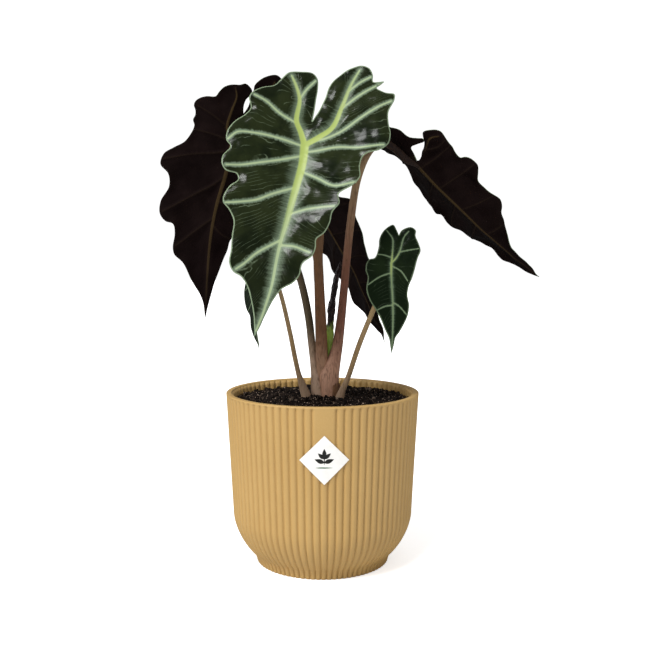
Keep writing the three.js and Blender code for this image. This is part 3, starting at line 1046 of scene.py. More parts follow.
@dataclass
class PottingMix:
    """Crumbly soil: an uneven surface with loose crumbs, bits of bark and fibres on it."""

    radius: float
    level: float
    mound: float
    plug_depth: float = 12.0
    crumbs: int = 5200
    crumb_share: float = 0.965
    crumb_reach: float = 0.985
    fibres: int = 70
    fibre_reach: float = 0.9
    fibre_step: float = 1.1
    seed: int = 11

    def height(self, x: float, y: float) -> float:
        """Height of the soil at a place, without its crumbs.

        Args:
            x: Distance to the right of the pot's middle, in millimetres.
            y: Distance behind it.

        Returns:
            The height above the ground, in millimetres.
        """
        reach = math.hypot(x, y) / self.radius
        dome = self.mound * (1 - min(1.0, reach * 1.15) ** 2)
        dome += 0.9 * math.exp(-((math.hypot(x - 1.5, y) - 9.0) ** 2) / 9)
        clumps = noise.fractal(Vector((x / 7, y / 7, 0.4)), 0.8, 2.1, 4)
        return self.level + dome + 0.9 * clumps * min(1.0, (1 - reach) * 9 + 0.25)

    def build_surface(self) -> None:
        """Builds the plug with its uneven top."""
        count = 240
        rings = []
        for share in np.linspace(1, 0.012, 96):
            ring = []
            for angle in 2 * math.pi * np.arange(count) / count:
                x, y = share * self.radius * math.cos(angle), share * self.radius * math.sin(angle)
                ring.append((x, y, self.height(x, y)))
            rings.append(ring)
        bottom = self.level - self.plug_depth
        low = [(x, y, bottom) for x, y, _ in rings[0]]
        vertices = np.vstack([low, *rings, (0, 0, bottom), (0, 0, self.height(0, 0))])
        faces = loft_faces(len(rings) + 1, count)
        surface = mesh_object("potting_mix", vertices * MM, faces, [SoilFinish("potting_mix").build()])
        dress(surface, "soil", "soil")

    def build_crumbs(self) -> None:
        """Scatters rough crumbs over the surface, mostly small ones."""
        random = Random(self.seed)
        ball, sides = rough_ball()
        corners = len(ball)
        vertices: list[np.ndarray] = []
        faces: list[tuple[int, ...]] = []
        slots: list[int] = []
        for n in range(self.crumbs):
            reach = self.radius * math.sqrt(random.random()) * self.crumb_reach
            angle = random.uniform(0, 2 * math.pi)
            size = 0.35 + 1.35 * random.random() ** 4
            stretch = [size * random.uniform(0.6, 1.45) for _ in range(3)]
            tilt = random.uniform(0, math.pi)
            dents = np.array([[random.uniform(-1, 1)] for _ in range(corners)])
            points = ball * stretch * (1 + 0.22 * dents)
            turned = points[:, :2] @ turn_plane(tilt)
            x, y = reach * math.cos(angle), reach * math.sin(angle)
            room = self.radius - 1.6 * size
            if reach > room:
                x, y = x * room / reach, y * room / reach
            z = self.height(x, y) + 0.25 * size
            place = np.column_stack([turned[:, 0] + x, turned[:, 1] + y, points[:, 2] + z])
            faces += [tuple(corners * n + corner for corner in side) for side in sides]
            slots += [int(random.random() >= self.crumb_share)] * len(sides)
            vertices.append(place)
        crumb = SoilFinish("soil_crumb", brown=(0.02, 0.0125, 0.009))
        grit = SoilFinish("soil_grit", dark=(0.03, 0.02, 0.014), brown=(0.13, 0.095, 0.07))
        finishes = [crumb.build(), grit.build()]
        crumbs = mesh_object("soil_crumbs", np.vstack(vertices) * MM, faces, finishes, slots)
        crumbs.data.shade_flat()
        dress(crumbs, "soil")

    def build_fibres(self) -> None:
        """Lays short curved fibres on the surface."""
        random = Random(self.seed + 1)
        vertices: list[tuple[float, float, float]] = []
        faces: list[tuple[int, ...]] = []
        sides = 5
        for _ in range(self.fibres):
            reach = self.radius * math.sqrt(random.random()) * self.fibre_reach
            angle = random.uniform(0, 2 * math.pi)
            heading = random.uniform(0, 2 * math.pi)
            bend_rate = random.uniform(-0.25, 0.25)
            thickness = random.uniform(0.14, 0.34)
            x, y = reach * math.cos(angle), reach * math.sin(angle)
            steps = random.randint(5, 11)
            start = len(vertices)
            for step in range(steps):
                taper = thickness * (1 - 0.7 * abs(2 * step / (steps - 1) - 1) ** 3)
                for side in range(sides):
                    turn = 2 * math.pi * side / sides
                    sideways = taper * math.cos(turn)
                    lift = taper * math.sin(turn)
                    place_x = x - sideways * math.sin(heading)
                    place_y = y + sideways * math.cos(heading)
                    limit = (self.radius - 0.5) / max(math.hypot(place_x, place_y), 1e-6)
                    place_x, place_y = place_x * min(1, limit), place_y * min(1, limit)
                    vertices.append((place_x, place_y, self.height(place_x, place_y) + 0.55 + lift))
                heading += bend_rate
                x += self.fibre_step * math.cos(heading)
                y += self.fibre_step * math.sin(heading)
            faces += ring_faces(steps, sides, start)
            faces.append(tuple(start + side for side in reversed(range(sides))))
            faces.append(tuple(start + (steps - 1) * sides + side for side in range(sides)))
        finish = DryFinish("soil_fibre", color=(0.07, 0.042, 0.026), dark=(0.02, 0.013, 0.009))
        dress(mesh_object("soil_fibres", np.array(vertices) * MM, faces, [finish.build()]), "soil")

    def build(self) -> None:
        """Builds the surface and what lies on it."""
        self.build_surface()
        self.build_crumbs()
        self.build_fibres()


@dataclass
class PotLabel:
    """Square paper label set on its corner, with a small printed sprig."""

    pot: FlutedPot
    centre_height: float
    side: float = 23.5
    lift: float = 0.3
    thickness: float = 0.25
    ink_lift: float = 0.04
    steps: int = 22

    def on_wall(self, x: np.ndarray, y: np.ndarray, lift: float) -> np.ndarray:
        """Places over the pot's front, x and y away from the label's middle.

        Args:
            x: Distances to the right, in millimetres.
            y: Distances upwards, in millimetres.
            lift: Distance out from the reeds' crests.

        Returns:
            The places in the part's frame, in millimetres.
        """
        z = self.centre_height + y
        radius = np.array([self.pot.wall_radius(height) for height in z]) + lift
        angle = -np.pi / 2 + math.radians(self.pot.panel_turn) + x / radius
        return np.column_stack([radius * np.cos(angle), radius * np.sin(angle), z])

    def sheet(
        self, name: str, outlines: Sequence[np.ndarray], lift: float, finish: Finish, *nodes: str
    ) -> None:
        """Builds thin sheets on the wall.

        Args:
            name: The piece's name.
            outlines: Corners of each sheet on the flat label, counter-clockwise.
            lift: Distance of their backs from the reeds' crests.
            finish: Their finish.
            nodes: CAD nodes that they stand for.
        """
        shares = np.linspace(1, 0, 12)[:-1]
        rings = 2 * len(shares)
        vertices: list[np.ndarray] = []
        faces: list[tuple[int, ...]] = []
        for outline in outlines:
            middle = outline.mean(axis=0)
            start = sum(len(part) for part in vertices)
            flats = [middle + (outline - middle) * share for share in shares]
            vertices += [self.on_wall(*flat.T, lift) for flat in flats[::-1]]
            vertices += [self.on_wall(*flat.T, lift + self.thickness) for flat in flats]
            vertices += [self.on_wall(*middle[:, None], lift + extra) for extra in (0, self.thickness)]
            faces += loft_faces(rings, len(outline), start)
        piece = mesh_object(name, np.vstack(vertices) * MM, faces, [finish.build()])
        piece.data.shade_flat()
        dress(piece, "label", *nodes)

    def leaflet(self, x: float, y: float, length: float, angle: float, plump: float) -> np.ndarray:
        """Outline of a printed leaflet.

        Args:
            x: Its foot, to the right of the label's middle.
            y: Its foot, above the label's middle.
            length: Its length.
            angle: Its direction in degrees, 90 being straight up.
            plump: Its width over its length.

        Returns:
            The corners, counter-clockwise.
        """
        share = np.linspace(0, 1, 12)
        half = 0.5 * plump * length * np.sin(np.pi * share**0.8)
        right = np.column_stack([share * length, -half])
        left = np.column_stack([share * length, half])[::-1]
        shape = np.vstack([right, left[1:-1]])
        return shape @ turn_plane(math.radians(angle)) + (x, y)

    def build(self) -> None:
        """Builds the paper and the printed sprig over a short line."""
        half = self.side / math.sqrt(2)
        corners = np.array([(0, -half), (half, 0), (0, half), (-half, 0)])
        edge = np.linspace(0, 1, self.steps, endpoint=False)[:, None]
        ends = np.roll(corners, -1, axis=0)
        outline = np.vstack([a + (b - a) * edge for a, b in zip(corners, ends)])
        self.sheet("diamond_label", [outline], self.lift, LabelFinish("label_paper"), "label")
        above = self.lift + self.ink_lift
        sprig = [self.leaflet(0, -3.2, 8.0, 90, 0.09), self.leaflet(0, 1.9, 6.0, 90, 0.46)]
        for y, length, angle in ((-1.6, 6.8, 20), (1.0, 5.8, 42)):
            sprig += [self.leaflet(0, y, length, turn, 0.44) for turn in (angle, 180 - angle)]
        self.sheet("label_sprig", sprig, above, InkFinish("label_ink_black"))
        line = [self.leaflet(-6, -5, 12, 0, 0.07)]
        self.sheet("label_line", line, above, InkFinish("label_ink_green", color=(0.03, 0.12, 0.05)))


# ---------------------------------------------------------------- leaves


@dataclass(frozen=True)
class LeafForm:
    """One leaf: its flat outline, its veins, and how it is folded and placed.

    The flat leaf is drawn as seen on its face with the tip down: x to the right and y from the
    junction towards the tip, in millimetres. right and left run from the sinus to the tip.
    stalk lists stations from the foot up: x, y, z and the two half-widths of the stalk there.
    junction, tip and stalk are measured from the middle of the soil surface.
    """

    name: str
    junction: tuple[float, float, float]
    tip: tuple[float, float, float]
    facing: tuple[float, float, float]
    sag: float
    fold: float
    sinus: tuple[float, float]
    right: Pairs
    left: Pairs
    midrib: Pairs
    ribs: Sequence[Pairs]
    side_veins: Sequence[Pairs]
    stalk: Sequence[tuple[float, float, float, float, float]]
    glow_radius: float = 70.0
    seed: float = 0.0
    ruffle: float = 1.6
    pucker: float = 1.7

    @property
    def length(self) -> float:
        """Distance from the junction to the tip, in millimetres."""
        return float(np.linalg.norm(np.subtract(self.tip, self.junction)))

    @property
    def scale(self) -> float:
        """How long the leaf is against a full-grown one."""
        return self.length / FULL_LENGTH

    def directions(self) -> tuple[np.ndarray, np.ndarray, np.ndarray]:
        """The leaf's own directions.

        Returns:
            Along the midrib, out of the face and across to the right, each of length 1.
        """
        along = np.subtract(self.tip, self.junction) / self.length
        out = np.array(self.facing, dtype=float)
        out -= along * (out @ along)
        out /= np.linalg.norm(out)
        return along, out, np.cross(out, along)

    def place(self, flat: np.ndarray, lift: np.ndarray) -> np.ndarray:
        """Bends and places points of the flat leaf.

        Args:
            flat: x and y of each point on the flat leaf.
            lift: Height of each point out of the face.

        Returns:
            The places, measured from the middle of the soil surface.
        """
        along, out, across = self.directions()
        x, y = flat[:, 0], flat[:, 1]
        share = y / self.length
        rise = 4 * self.sag * np.where(share > 0, share * (1 - share), share)
        fold = math.radians(self.fold)
        soft = np.sqrt(x**2 + 4) - 2
        out_by = rise + soft * math.sin(fold) + lift
        return (
            np.array(self.junction)
            + y[:, None] * along
            + (x * math.cos(fold))[:, None] * across
            + out_by[:, None] * out
        )


FRONT_LEAF = LeafForm(
    name="front",
    junction=(-12, -38, 179),
    tip=(-43.5, -78, 53.5),
    facing=(0, -1, 0.25),
    sag=6,
    fold=8,
    sinus=(0.5, -20),
    right=[
        (3, -28), (5, -40), (5.5, -49), (9, -59), (17, -68), (23, -72), (29, -71), (33, -66),
        (34.5, -60.5), (38, -61), (42, -62), (38.5, -57.5), (38, -55.5), (44, -53), (51, -53),
        (52, -49), (50, -38), (52, -28), (55, -20), (55, -13), (50, -6), (41, 0), (40, 8), (42, 16),
        (39, 23), (31, 32), (33, 38), (30, 45), (30, 52), (28, 60), (24, 65), (25, 71), (24, 77),
        (19, 83), (19, 91), (16, 97), (10, 102), (7, 108), (5, 114), (3, 122), (2, 128),
    ],
    left=[
        (0, -28), (-1, -38), (-2, -47), (-4, -54), (-9, -58), (-16, -56), (-24, -53), (-28, -46),
        (-32, -39), (-38, -35), (-43, -30), (-45, -24), (-42, -17), (-44, -11), (-49, -4), (-52, 5),
        (-51, 12), (-47, 16), (-50, 24), (-49, 30), (-45, 34), (-38, 34), (-36, 38), (-40, 44),
        (-42, 51), (-41, 56), (-36, 60), (-31, 67), (-30, 75), (-28, 86), (-27, 94), (-23, 99),
        (-17, 101), (-12, 106), (-8, 113), (-4, 122), (-1.5, 130),
    ],
    midrib=[(0, 0), (2, 14), (2, 40), (2, 57), (1.5, 72), (2, 86), (3, 101), (2, 116), (0, 132)],
    ribs=[
        [(0, 0), (-5, -9), (-10, -17), (-12, -34), (-17, -44), (-22, -51)],
        [(0, 0), (8, -8), (15, -17), (18, -36), (20, -54), (23, -68)],
    ],
    side_veins=[
        [(-12, -35), (-9, -44), (-5, -52)],
        [(-9, -15), (-22, -19), (-33, -25), (-42, -27)],
        [(-1, 1), (-17, 0), (-33, 1), (-45, 4), (-50, 11)],
        [(1, 8), (-16, 17), (-33, 25), (-46, 30)],
        [(2, 32), (-12, 41), (-21, 48), (-32, 53), (-40, 56)],
        [(1.5, 70), (-12, 83), (-18, 92), (-22, 97)],
        [(18, -34), (26, -45), (33, -53), (40, -60)],
        [(19, -48), (26, -58), (32, -64)],
        [(4, -4), (11, -7), (22, -16), (33, -30), (42, -40), (50, -47)],
        [(2, 5), (8, 3), (22, -3), (38, -6), (52, -11)],
        [(2, 20), (15, 23), (26, 26), (40, 21)],
        [(2, 52), (13, 46), (22, 43), (30, 41)],
        [(1.5, 74), (11, 73), (22, 75)],
    ],
    stalk=[
        (0.5, 3, -3, 5, 4.5), (0.2, 2.6, 8, 4.9, 4.4), (-0.2, 1.2, 22, 4.5, 4.2), (-1, -3, 51, 4.2, 4),
        (-2.2, -8.5, 82, 3.6, 3.4), (-3, -12, 104, 3.3, 3.2), (-2, -17, 120, 3.1, 3),
        (-2, -26, 147, 2.9, 2.8), (-8, -32.5, 169, 2.6, 2.6),
    ],
    glow_radius=88,
    seed=1.3,
)
LEFT_LEAF = LeafForm(
    name="left",
    junction=(-66, 15, 189),
    tip=(-89.5, 32, 56.5),
    facing=(-0.2, 0.9, 0.3),
    sag=4,
    fold=8,
    sinus=(-5.2, -20),
    right=[
        (-4.5, -23), (-4.5, -27), (-5.5, -30.5), (-8, -33.5), (-8.8, -37), (-6.5, -39.5), (-3, -41),
        (1, -39.5), (4.5, -39), (8, -38.2), (12, -36), (15, -32), (17, -28.5), (23, -27.5),
        (27.5, -25.5), (30.5, -22.5), (31, -19.5), (29.5, -16.5), (29, -13), (30, -9.5), (28.5, -5.5),
        (33, 6), (41, 12.5), (47, 18), (48.5, 26), (42, 32), (40, 41), (44.5, 53), (44, 62), (39, 67),
        (33.5, 68), (31, 76), (31, 86), (29, 91), (22, 96), (14, 108), (6, 118), (2.5, 125),
    ],
    left=[
        (-6.8, -23), (-8, -26), (-8.8, -30.5), (-9.5, -34), (-9.8, -38), (-9.8, -41), (-12.5, -45),
        (-17, -48.5), (-25, -51), (-31, -47), (-34, -39), (-39, -31), (-40, -22), (-43, -14), (-42, -5),
        (-43, 6), (-39, 14), (-39, 25), (-35, 32), (-34, 42), (-29, 50), (-24, 58), (-16, 66),
        (-11, 74), (-10, 82), (-7.5, 90), (-4.5, 102), (-2, 118),
    ],
    midrib=[(0, 0), (0.5, 24), (3.5, 48), (4.5, 69), (3, 100), (0, 133)],
    ribs=[
        [(0, 0), (5, -8), (4, -20), (2, -31), (4, -37)],
        [(0, 0), (-8, -12), (-16, -28), (-24, -46)],
    ],
    side_veins=[
        [(5, -9), (16, -15), (28, -20)],
        [(1, 1), (15, -2), (29, -3)],
        [(0, 8), (10, 11), (28, 15), (47, 22)],
        [(0.5, 26), (8, 34), (20, 43), (42, 60)],
        [(4, 58), (16, 70), (29, 84)],
        [(-9, -14), (-24, -20), (-39, -24)],
        [(0, 3), (-20, -1), (-41, -5)],
        [(0.5, 22), (-16, 24), (-38, 27)],
        [(3, 46), (-12, 50), (-28, 50)],
        [(4.5, 64), (-3, 70), (-11, 73)],
    ],
    stalk=[
        (-2.5, 1, -3, 5, 5), (-3.2, 0.8, 6, 5.2, 5), (-4.6, 1.4, 15, 3.8, 4.4), (-6, 3.2, 25, 2.9, 3.4),
        (-8, 6.2, 42, 2.8, 2.9), (-10, 8, 59, 2.8, 2.8), (-16, 9, 87, 2.7, 2.7),
        (-31, 11, 127, 2.5, 2.5), (-51, 11, 169, 2.4, 2.4),
    ],
    seed=2.9,
)
RIGHT_LEAF = LeafForm(
    name="right",
    junction=(64, 6, 175),
    tip=(161, 18, 89),
    facing=(0.563, 0.522, 0.64),
    sag=-4,
    fold=14,
    sinus=(-1.5, 4),
    right=[
        (-2, 2.5), (-3, -1.5), (-4.5, -5), (-6.5, -5.5), (-10.5, -4), (-15.8, -2), (-17.6, -3.8),
        (-14.5, -6.5), (-10, -12.5), (-8.5, -20), (-4, -27.5), (3, -37), (12, -41), (22, -39),
        (30, -32), (32, -26), (29, -18), (20, -11), (14.5, -4), (16, 5), (20.5, 10), (26.5, 17),
        (30, 22.5), (31.5, 28.5), (32, 34.5), (30.5, 39), (32.5, 44.5), (27, 48), (30, 57),
        (30.5, 62.5), (26.5, 66.5), (26.5, 74), (29, 79), (21.5, 84.5), (16, 91.5), (13.5, 101),
        (10.5, 109), (6, 118), (2.5, 124),
    ],
    left=[
        (-3, 5), (-7, 4), (-10.5, 2), (-15.5, -1), (-19, -4.5), (-23, -7.5), (-30.5, -4.5), (-35, 0),
        (-35, 5), (-34, 13), (-31.5, 18), (-31.5, 23), (-35, 25), (-37.5, 30), (-37.5, 35), (-34.5, 39),
        (-30, 43.5), (-27.5, 50), (-28.5, 58), (-28, 64), (-25, 69.5), (-22, 72.5), (-17.5, 80),
        (-12.5, 88.5), (-7, 98), (-4, 107), (-3, 116), (-1.5, 124),
    ],
    midrib=[(0, 1), (0, 25), (-0.5, 49), (0, 81), (0, 128)],
    ribs=[
        [(0, 1), (8, -12), (14, -26), (17, -37)],
        [(0, 1), (-12, 3), (-24, -1), (-32, 2)],
    ],
    side_veins=[
        [(0, 10), (-18, 12), (-33, 12)],
        [(0, 30), (-20, 32), (-36, 33)],
        [(-0.5, 52), (-14, 56), (-27, 59)],
        [(0, 78), (-8, 80), (-15, 80)],
        [(0, 5), (10, 2), (15, -1)],
        [(0, 24), (15, 29), (30, 36)],
        [(-0.5, 47), (16, 53), (29, 60)],
        [(0, 68), (16, 74), (27, 78)],
        [(-14, 3), (-24, 7), (-34, 7)],
    ],
    stalk=[
        (4.5, -1.5, -3, 4.6, 4.5), (5, -2.2, 4, 5.8, 5.2), (5.3, -2.6, 11, 6.6, 4.8),
        (5, -2.4, 17, 7.2, 4.2), (7, -1.4, 24, 5.9, 3.9), (9, -0.4, 31, 4.7, 3.7),
        (11, 0.4, 40, 3.9, 3.5), (13.6, 1, 60, 3.2, 3.2), (16.4, 2, 89, 2.9, 2.9),
        (20, 2, 126, 2.8, 2.8), (25, 1, 159, 2.7, 2.7), (32, 0, 177, 2.7, 2.7), (38, 0, 184, 2.8, 2.8),
        (44, 1, 185.5, 2.8, 2.8), (51, 2, 182, 2.6, 2.6),
    ],
    seed=4.7,
    ruffle=2.2,
    pucker=2.2,
)
BACK_LEAF = LeafForm(
    name="back",
    junction=(-3.5, 45, 139.5),
    tip=(49, 52, 36.5),
    facing=(0.786, 0.469, 0.397),
    sag=3,
    fold=8,
    sinus=(0, -15),
    right=[
        (3, -22), (7, -27), (14, -31), (21, -26), (25, -18), (29, -12), (30, -3), (34, 4), (36, 13),
        (39, 20), (42, 32), (35, 38), (32, 42), (36, 52), (31, 61), (28, 70), (30, 80), (25, 86),
        (17, 92), (12, 98), (6, 105), (2, 109),
    ],
    left=[
        (-3, -22), (-8, -28), (-15, -30), (-22, -23), (-25, -8), (-31, -2), (-41, 4), (-36, 15),
        (-35, 26), (-31, 36), (-27, 45), (-25, 55), (-21, 67), (-16, 78), (-10, 89), (-4, 99),
        (-2, 106),
    ],
    midrib=[(0, 0), (0, 35), (-2, 52), (0, 76), (0, 111)],
    ribs=[[(0, 0), (7, -11), (14, -27)], [(0, 0), (-7, -11), (-14, -26)]],
    side_veins=[
        [(0, 4), (-20, 3), (-38, 5)],
        [(0, 22), (-18, 24), (-34, 27)],
        [(-1.5, 44), (-14, 44), (-26, 47)],
        [(-1, 64), (-10, 66), (-20, 69)],
        [(0, 6), (18, 9), (38, 19)],
        [(0, 28), (18, 36), (34, 51)],
        [(-1.5, 54), (14, 62), (28, 77)],
        [(0, 80), (8, 86), (14, 95)],
    ],
    stalk=[
        (1.5, 7, -3, 3.5, 3), (1, 9, 10, 3, 2.8), (0, 18, 50, 2.2, 2.2), (-4, 28, 94, 1.9, 1.9),
        (-8, 37, 122, 1.8, 1.8),
    ],
    seed=6.1,
)
SMALL_RIGHT_LEAF = LeafForm(
    name="small_right",
    junction=(47.5, -28, 100),
    tip=(47, -42, 38.5),
    facing=(0.1, -1, 0.3),
    sag=3,
    fold=8,
    sinus=(6, -20.5),
    right=[
        (8, -24), (11.5, -26), (15, -26.5), (18, -24), (17.5, -20), (19.5, -14), (20.5, -9), (18.5, -4),
        (15.5, 6), (13.5, 12), (11.5, 17), (10.5, 23), (11.5, 30), (10.5, 37), (8, 43), (5, 48.5),
        (2.5, 52), (1.5, 57),
    ],
    left=[
        (4.5, -25), (2.5, -28.5), (-1, -27), (-5.5, -22.5), (-8, -17), (-8.5, -12), (-10.5, -5),
        (-12, -3), (-15.5, -2), (-17.5, 0.5), (-18.5, 6), (-17, 11), (-18, 17), (-18, 21), (-16, 27),
        (-11.5, 34), (-8.5, 39), (-5, 47), (-2, 53), (-1, 58),
    ],
    midrib=[(0, 0), (-0.3, 10), (0.5, 30), (0.5, 42), (0, 62)],
    ribs=[
        [(0, 0), (1, -7), (1.5, -18), (-1, -22), (-2.5, -24)],
        [(0, 0), (3, -3), (6, -8), (9.5, -19), (13, -23.5)],
    ],
    side_veins=[
        [(0, -4), (-5, -5.5), (-10, -6)],
        [(6, -8), (13, -9.5), (19.5, -10.5)],
        [(0, 2), (6.5, 6), (11, 13)],
        [(0, 7), (-8.5, 10.5), (-17, 16.5)],
        [(0.5, 30), (-5, 31), (-11, 34)],
        [(0.5, 28), (5, 31), (10, 37)],
    ],
    stalk=[
        (11.5, -8, -3, 2.6, 2.2), (12.5, -8.5, 3, 3.1, 2.2), (14.5, -9.5, 9, 2.3, 1.9),
        (18, -11, 17, 1.9, 1.9), (26, -16, 42, 1.85, 1.85), (36, -21, 68, 1.75, 1.75),
        (44, -24, 88, 1.5, 1.5),
    ],
    glow_radius=14,
    seed=7.7,
    ruffle=0.7,
    pucker=0.6,
)
SMALL_LEFT_LEAF = LeafForm(
    name="small_left",
    junction=(-46, -42, 94),
    tip=(-43, -44, 42),
    facing=(-0.96, -0.28, 0),
    sag=2,
    fold=8,
    sinus=(0, -8),
    right=[
        (2, -11), (5, -14), (10, -15), (13, -8), (14, 2), (14, 14), (12, 24), (8, 33), (4, 42),
        (1.5, 48),
    ],
    left=[
        (-2, -11), (-5, -14), (-10, -14), (-14, -6), (-16, 4), (-18, 14), (-15, 25), (-9, 30), (-9, 38),
        (-6, 44), (-2, 49),
    ],
    midrib=[(0, 0), (0, 51)],
    ribs=[[(0, 0), (4, -6), (8, -13)], [(0, 0), (-4, -6), (-8, -12)]],
    side_veins=[
        [(0, 4), (7, 6), (13, 9)],
        [(0, 16), (6, 20), (11, 25)],
        [(0, 5), (-8, 8), (-16, 12)],
        [(0, 18), (-6, 22), (-12, 26)],
    ],
    stalk=[
        (-11, -3.5, -3, 3.2, 2.6), (-11.8, -3.8, 3, 3.5, 2.6), (-13.8, -4.2, 9, 3, 2.2),
        (-15.6, -4.9, 14.5, 2.3, 1.9), (-17.3, -5.8, 20, 1.85, 1.85), (-19.8, -8, 32, 1.75, 1.75),
        (-23, -14, 50, 1.65, 1.65), (-29, -24, 78, 1.5, 1.5), (-35, -33, 97, 1.3, 1.3),
        (-39, -38, 101, 1.2, 1.2),
    ],
    glow_radius=14,
    seed=9.2,
    ruffle=0.5,
    pucker=0.4,
)
LEAVES = (FRONT_LEAF, LEFT_LEAF, RIGHT_LEAF, BACK_LEAF, SMALL_RIGHT_LEAF, SMALL_LEFT_LEAF)


def nearest(line: np.ndarray, others: np.ndarray) -> np.ndarray:
    """Distance of each point of a line from the nearest of some other points."""
    return np.linalg.norm(line[:, None] - others[None], axis=2).min(axis=1)


@dataclass
class LeafBlade:
    """A leaf's blade: a thin puckered sheet with raised veins underneath."""

    form: LeafForm
    soil_centre: np.ndarray
    face: BladeFinish
    spacing: float = 1.0
    thickness: float = 0.5
    edge_share: float = 0.65

    def outline(self) -> np.ndarray:
        """The margin as even steps, once round, from the tip up the right side.

        Returns:
            The margin's points on the flat leaf.
        """
        tip = (0.0, self.form.length)
        step = self.spacing * 0.8
        right = smooth_curve([self.form.sinus, *self.form.right, tip], step)
        left = smooth_curve([self.form.sinus, *self.form.left, tip], step)
        return np.vstack([right[::-1], left[1:-1]])

    def vein_lines(self) -> list[tuple[np.ndarray, float, float]]:
        """Each main vein as even steps, with half its pale width at its start and at its end.

        Returns:
            The midrib first, then the ribs, then the side veins.
        """
        form = self.form
        scale = form.scale**1.5
        lines = [(form.midrib, 6.0, 2.2)]
        lines += [(rib, 4.4, 1.9) for rib in form.ribs]
        lines += [(vein, 2.9, 2.0) for vein in form.side_veins]
        return [(smooth_curve(line, self.spacing), scale * wide, scale * thin) for line, wide, thin in lines]

    def guides(self, margin: np.ndarray) -> tuple[np.ndarray, list[tuple[int, int]]]:
        """Points and edges that the flat mesh must keep: the margin, and the veins inside it.

        Args:
            margin: The margin's points.

        Returns:
            The points, the margin's first, and the point numbers of each edge.
        """
        edges = [(i, (i + 1) % len(margin)) for i in range(len(margin))]
        closed = np.vstack([margin, margin[:1]])
        points = margin
        for line, _, _ in self.vein_lines():
            inside = inside_outline(line, margin) & (line_distance(line, closed)[0] > 0.9)
            if len(points) > len(margin):
                inside &= nearest(line, points[len(margin) :]) >= 0.45 * self.spacing
            kept = line[inside]
            edges += [(len(points) + i, len(points) + i + 1) for i in range(len(kept) - 1)]
            points = np.vstack([points, kept])
        return points, edges

    def filling(self, margin: np.ndarray) -> np.ndarray:
        """Even points between the veins, in rows that stand half a step apart.

        Args:
            margin: The margin's points.

        Returns:
            The points, none of them close to the margin or to a vein.
        """
        low, high = margin.min(axis=0), margin.max(axis=0)
        rows = []
        for k, y in enumerate(np.arange(low[1], high[1], self.spacing * 0.866)):
            x = np.arange(low[0] + (k % 2) * self.spacing / 2, high[0], self.spacing)
            rows.append(np.column_stack([x, np.full(len(x), y)]))
        grid = np.vstack(rows)
        grid = grid[inside_outline(grid, margin)]
        grid = grid[line_distance(grid, np.vstack([margin, margin[:1]]))[0] > 0.55 * self.spacing]
        for line, _, _ in self.vein_lines():
            grid = grid[line_distance(grid, line)[0] > 0.5 * self.spacing]
        return grid

    def sheet(self) -> tuple[np.ndarray, np.ndarray]:
        """A flat mesh of the blade with edges along its veins.

        Returns:
            The flat points, and the vertex numbers of each triangle.
        """
        margin = self.outline()
        fixed, edges = self.guides(margin)
        flat = [Vector(point) for point in np.vstack([fixed, self.filling(margin)])]
        result = delaunay_2d_cdt(flat, edges, [list(range(len(margin)))], 1, 1e-5, False)
        corners = np.array([tuple(v) for v in result[0]])
        faces = np.array([f for f in result[2] if len(f) == 3])
        faces = faces[inside_outline(corners[faces].mean(axis=1), margin)]
        a, b, c = (corners[faces[:, k]] for k in range(3))
        area = (b[:, 0] - a[:, 0]) * (c[:, 1] - a[:, 1]) - (b[:, 1] - a[:, 1]) * (c[:, 0] - a[:, 0])
        sound = np.abs(area) > 1e-6
        faces, area = faces[sound], area[sound]
        faces[area > 0] = faces[area > 0][:, ::-1]
        return corners, faces

    def fields(self, flat: np.ndarray) -> dict[str, np.ndarray]:
        """What the finish and the relief need to know about each point.

        Args:
            flat: Points on the flat leaf.

        Returns:
            vein: distance to the nearest vein over half its width, place along that vein, and the
            same distance to the midrib and the ribs alone; field: distance to the margin, a value
            that is even along the side veins, and distance from the junction over the reach of its
            yellow glow; bare: distance to the nearest vein; flat: place on the flat leaf.
        """
        form = self.form
        margin = self.outline()
        edge, _ = line_distance(flat, np.vstack([margin, margin[:1]]))
        ratio = np.full(len(flat), FAR_RATIO)
        rib_ratio = np.full(len(flat), FAR_RATIO)
        run = np.zeros(len(flat))
        bare = np.full(len(flat), 99.0)
        weight_sum = np.full(len(flat), 1e-9)
        flow_sum = np.zeros(len(flat))
        for k, (line, wide, thin) in enumerate(self.vein_lines()):
            distance, share = line_distance(flat, line)
            half = wide + (thin - wide) * share
            own = distance / half
            if k <= len(form.ribs):
                rib_ratio = np.minimum(rib_ratio, own)  # the midrib comes first, then the ribs
            nearer = own < ratio
            run[nearer] = 40.0 * k + share[nearer] * len(line) * self.spacing
            ratio = np.minimum(ratio, own)
            bare = np.minimum(bare, distance)
            value = np.interp(share, np.linspace(0, 1, len(line)), line[:, 1]) if k == 0 else line[0, 1]
            weight = 1 / (distance**2 + 0.5)
            weight_sum += weight
            flow_sum += weight * value
        glow = np.linalg.norm(flat, axis=1) / form.glow_radius
        return {
            "vein": np.column_stack([ratio, run, rib_ratio]),
            "field": np.column_stack([edge, flow_sum / weight_sum, glow]),
            "bare": bare,
            "flat": np.column_stack([flat, np.full(len(flat), 31.0 * form.seed)]),
        }

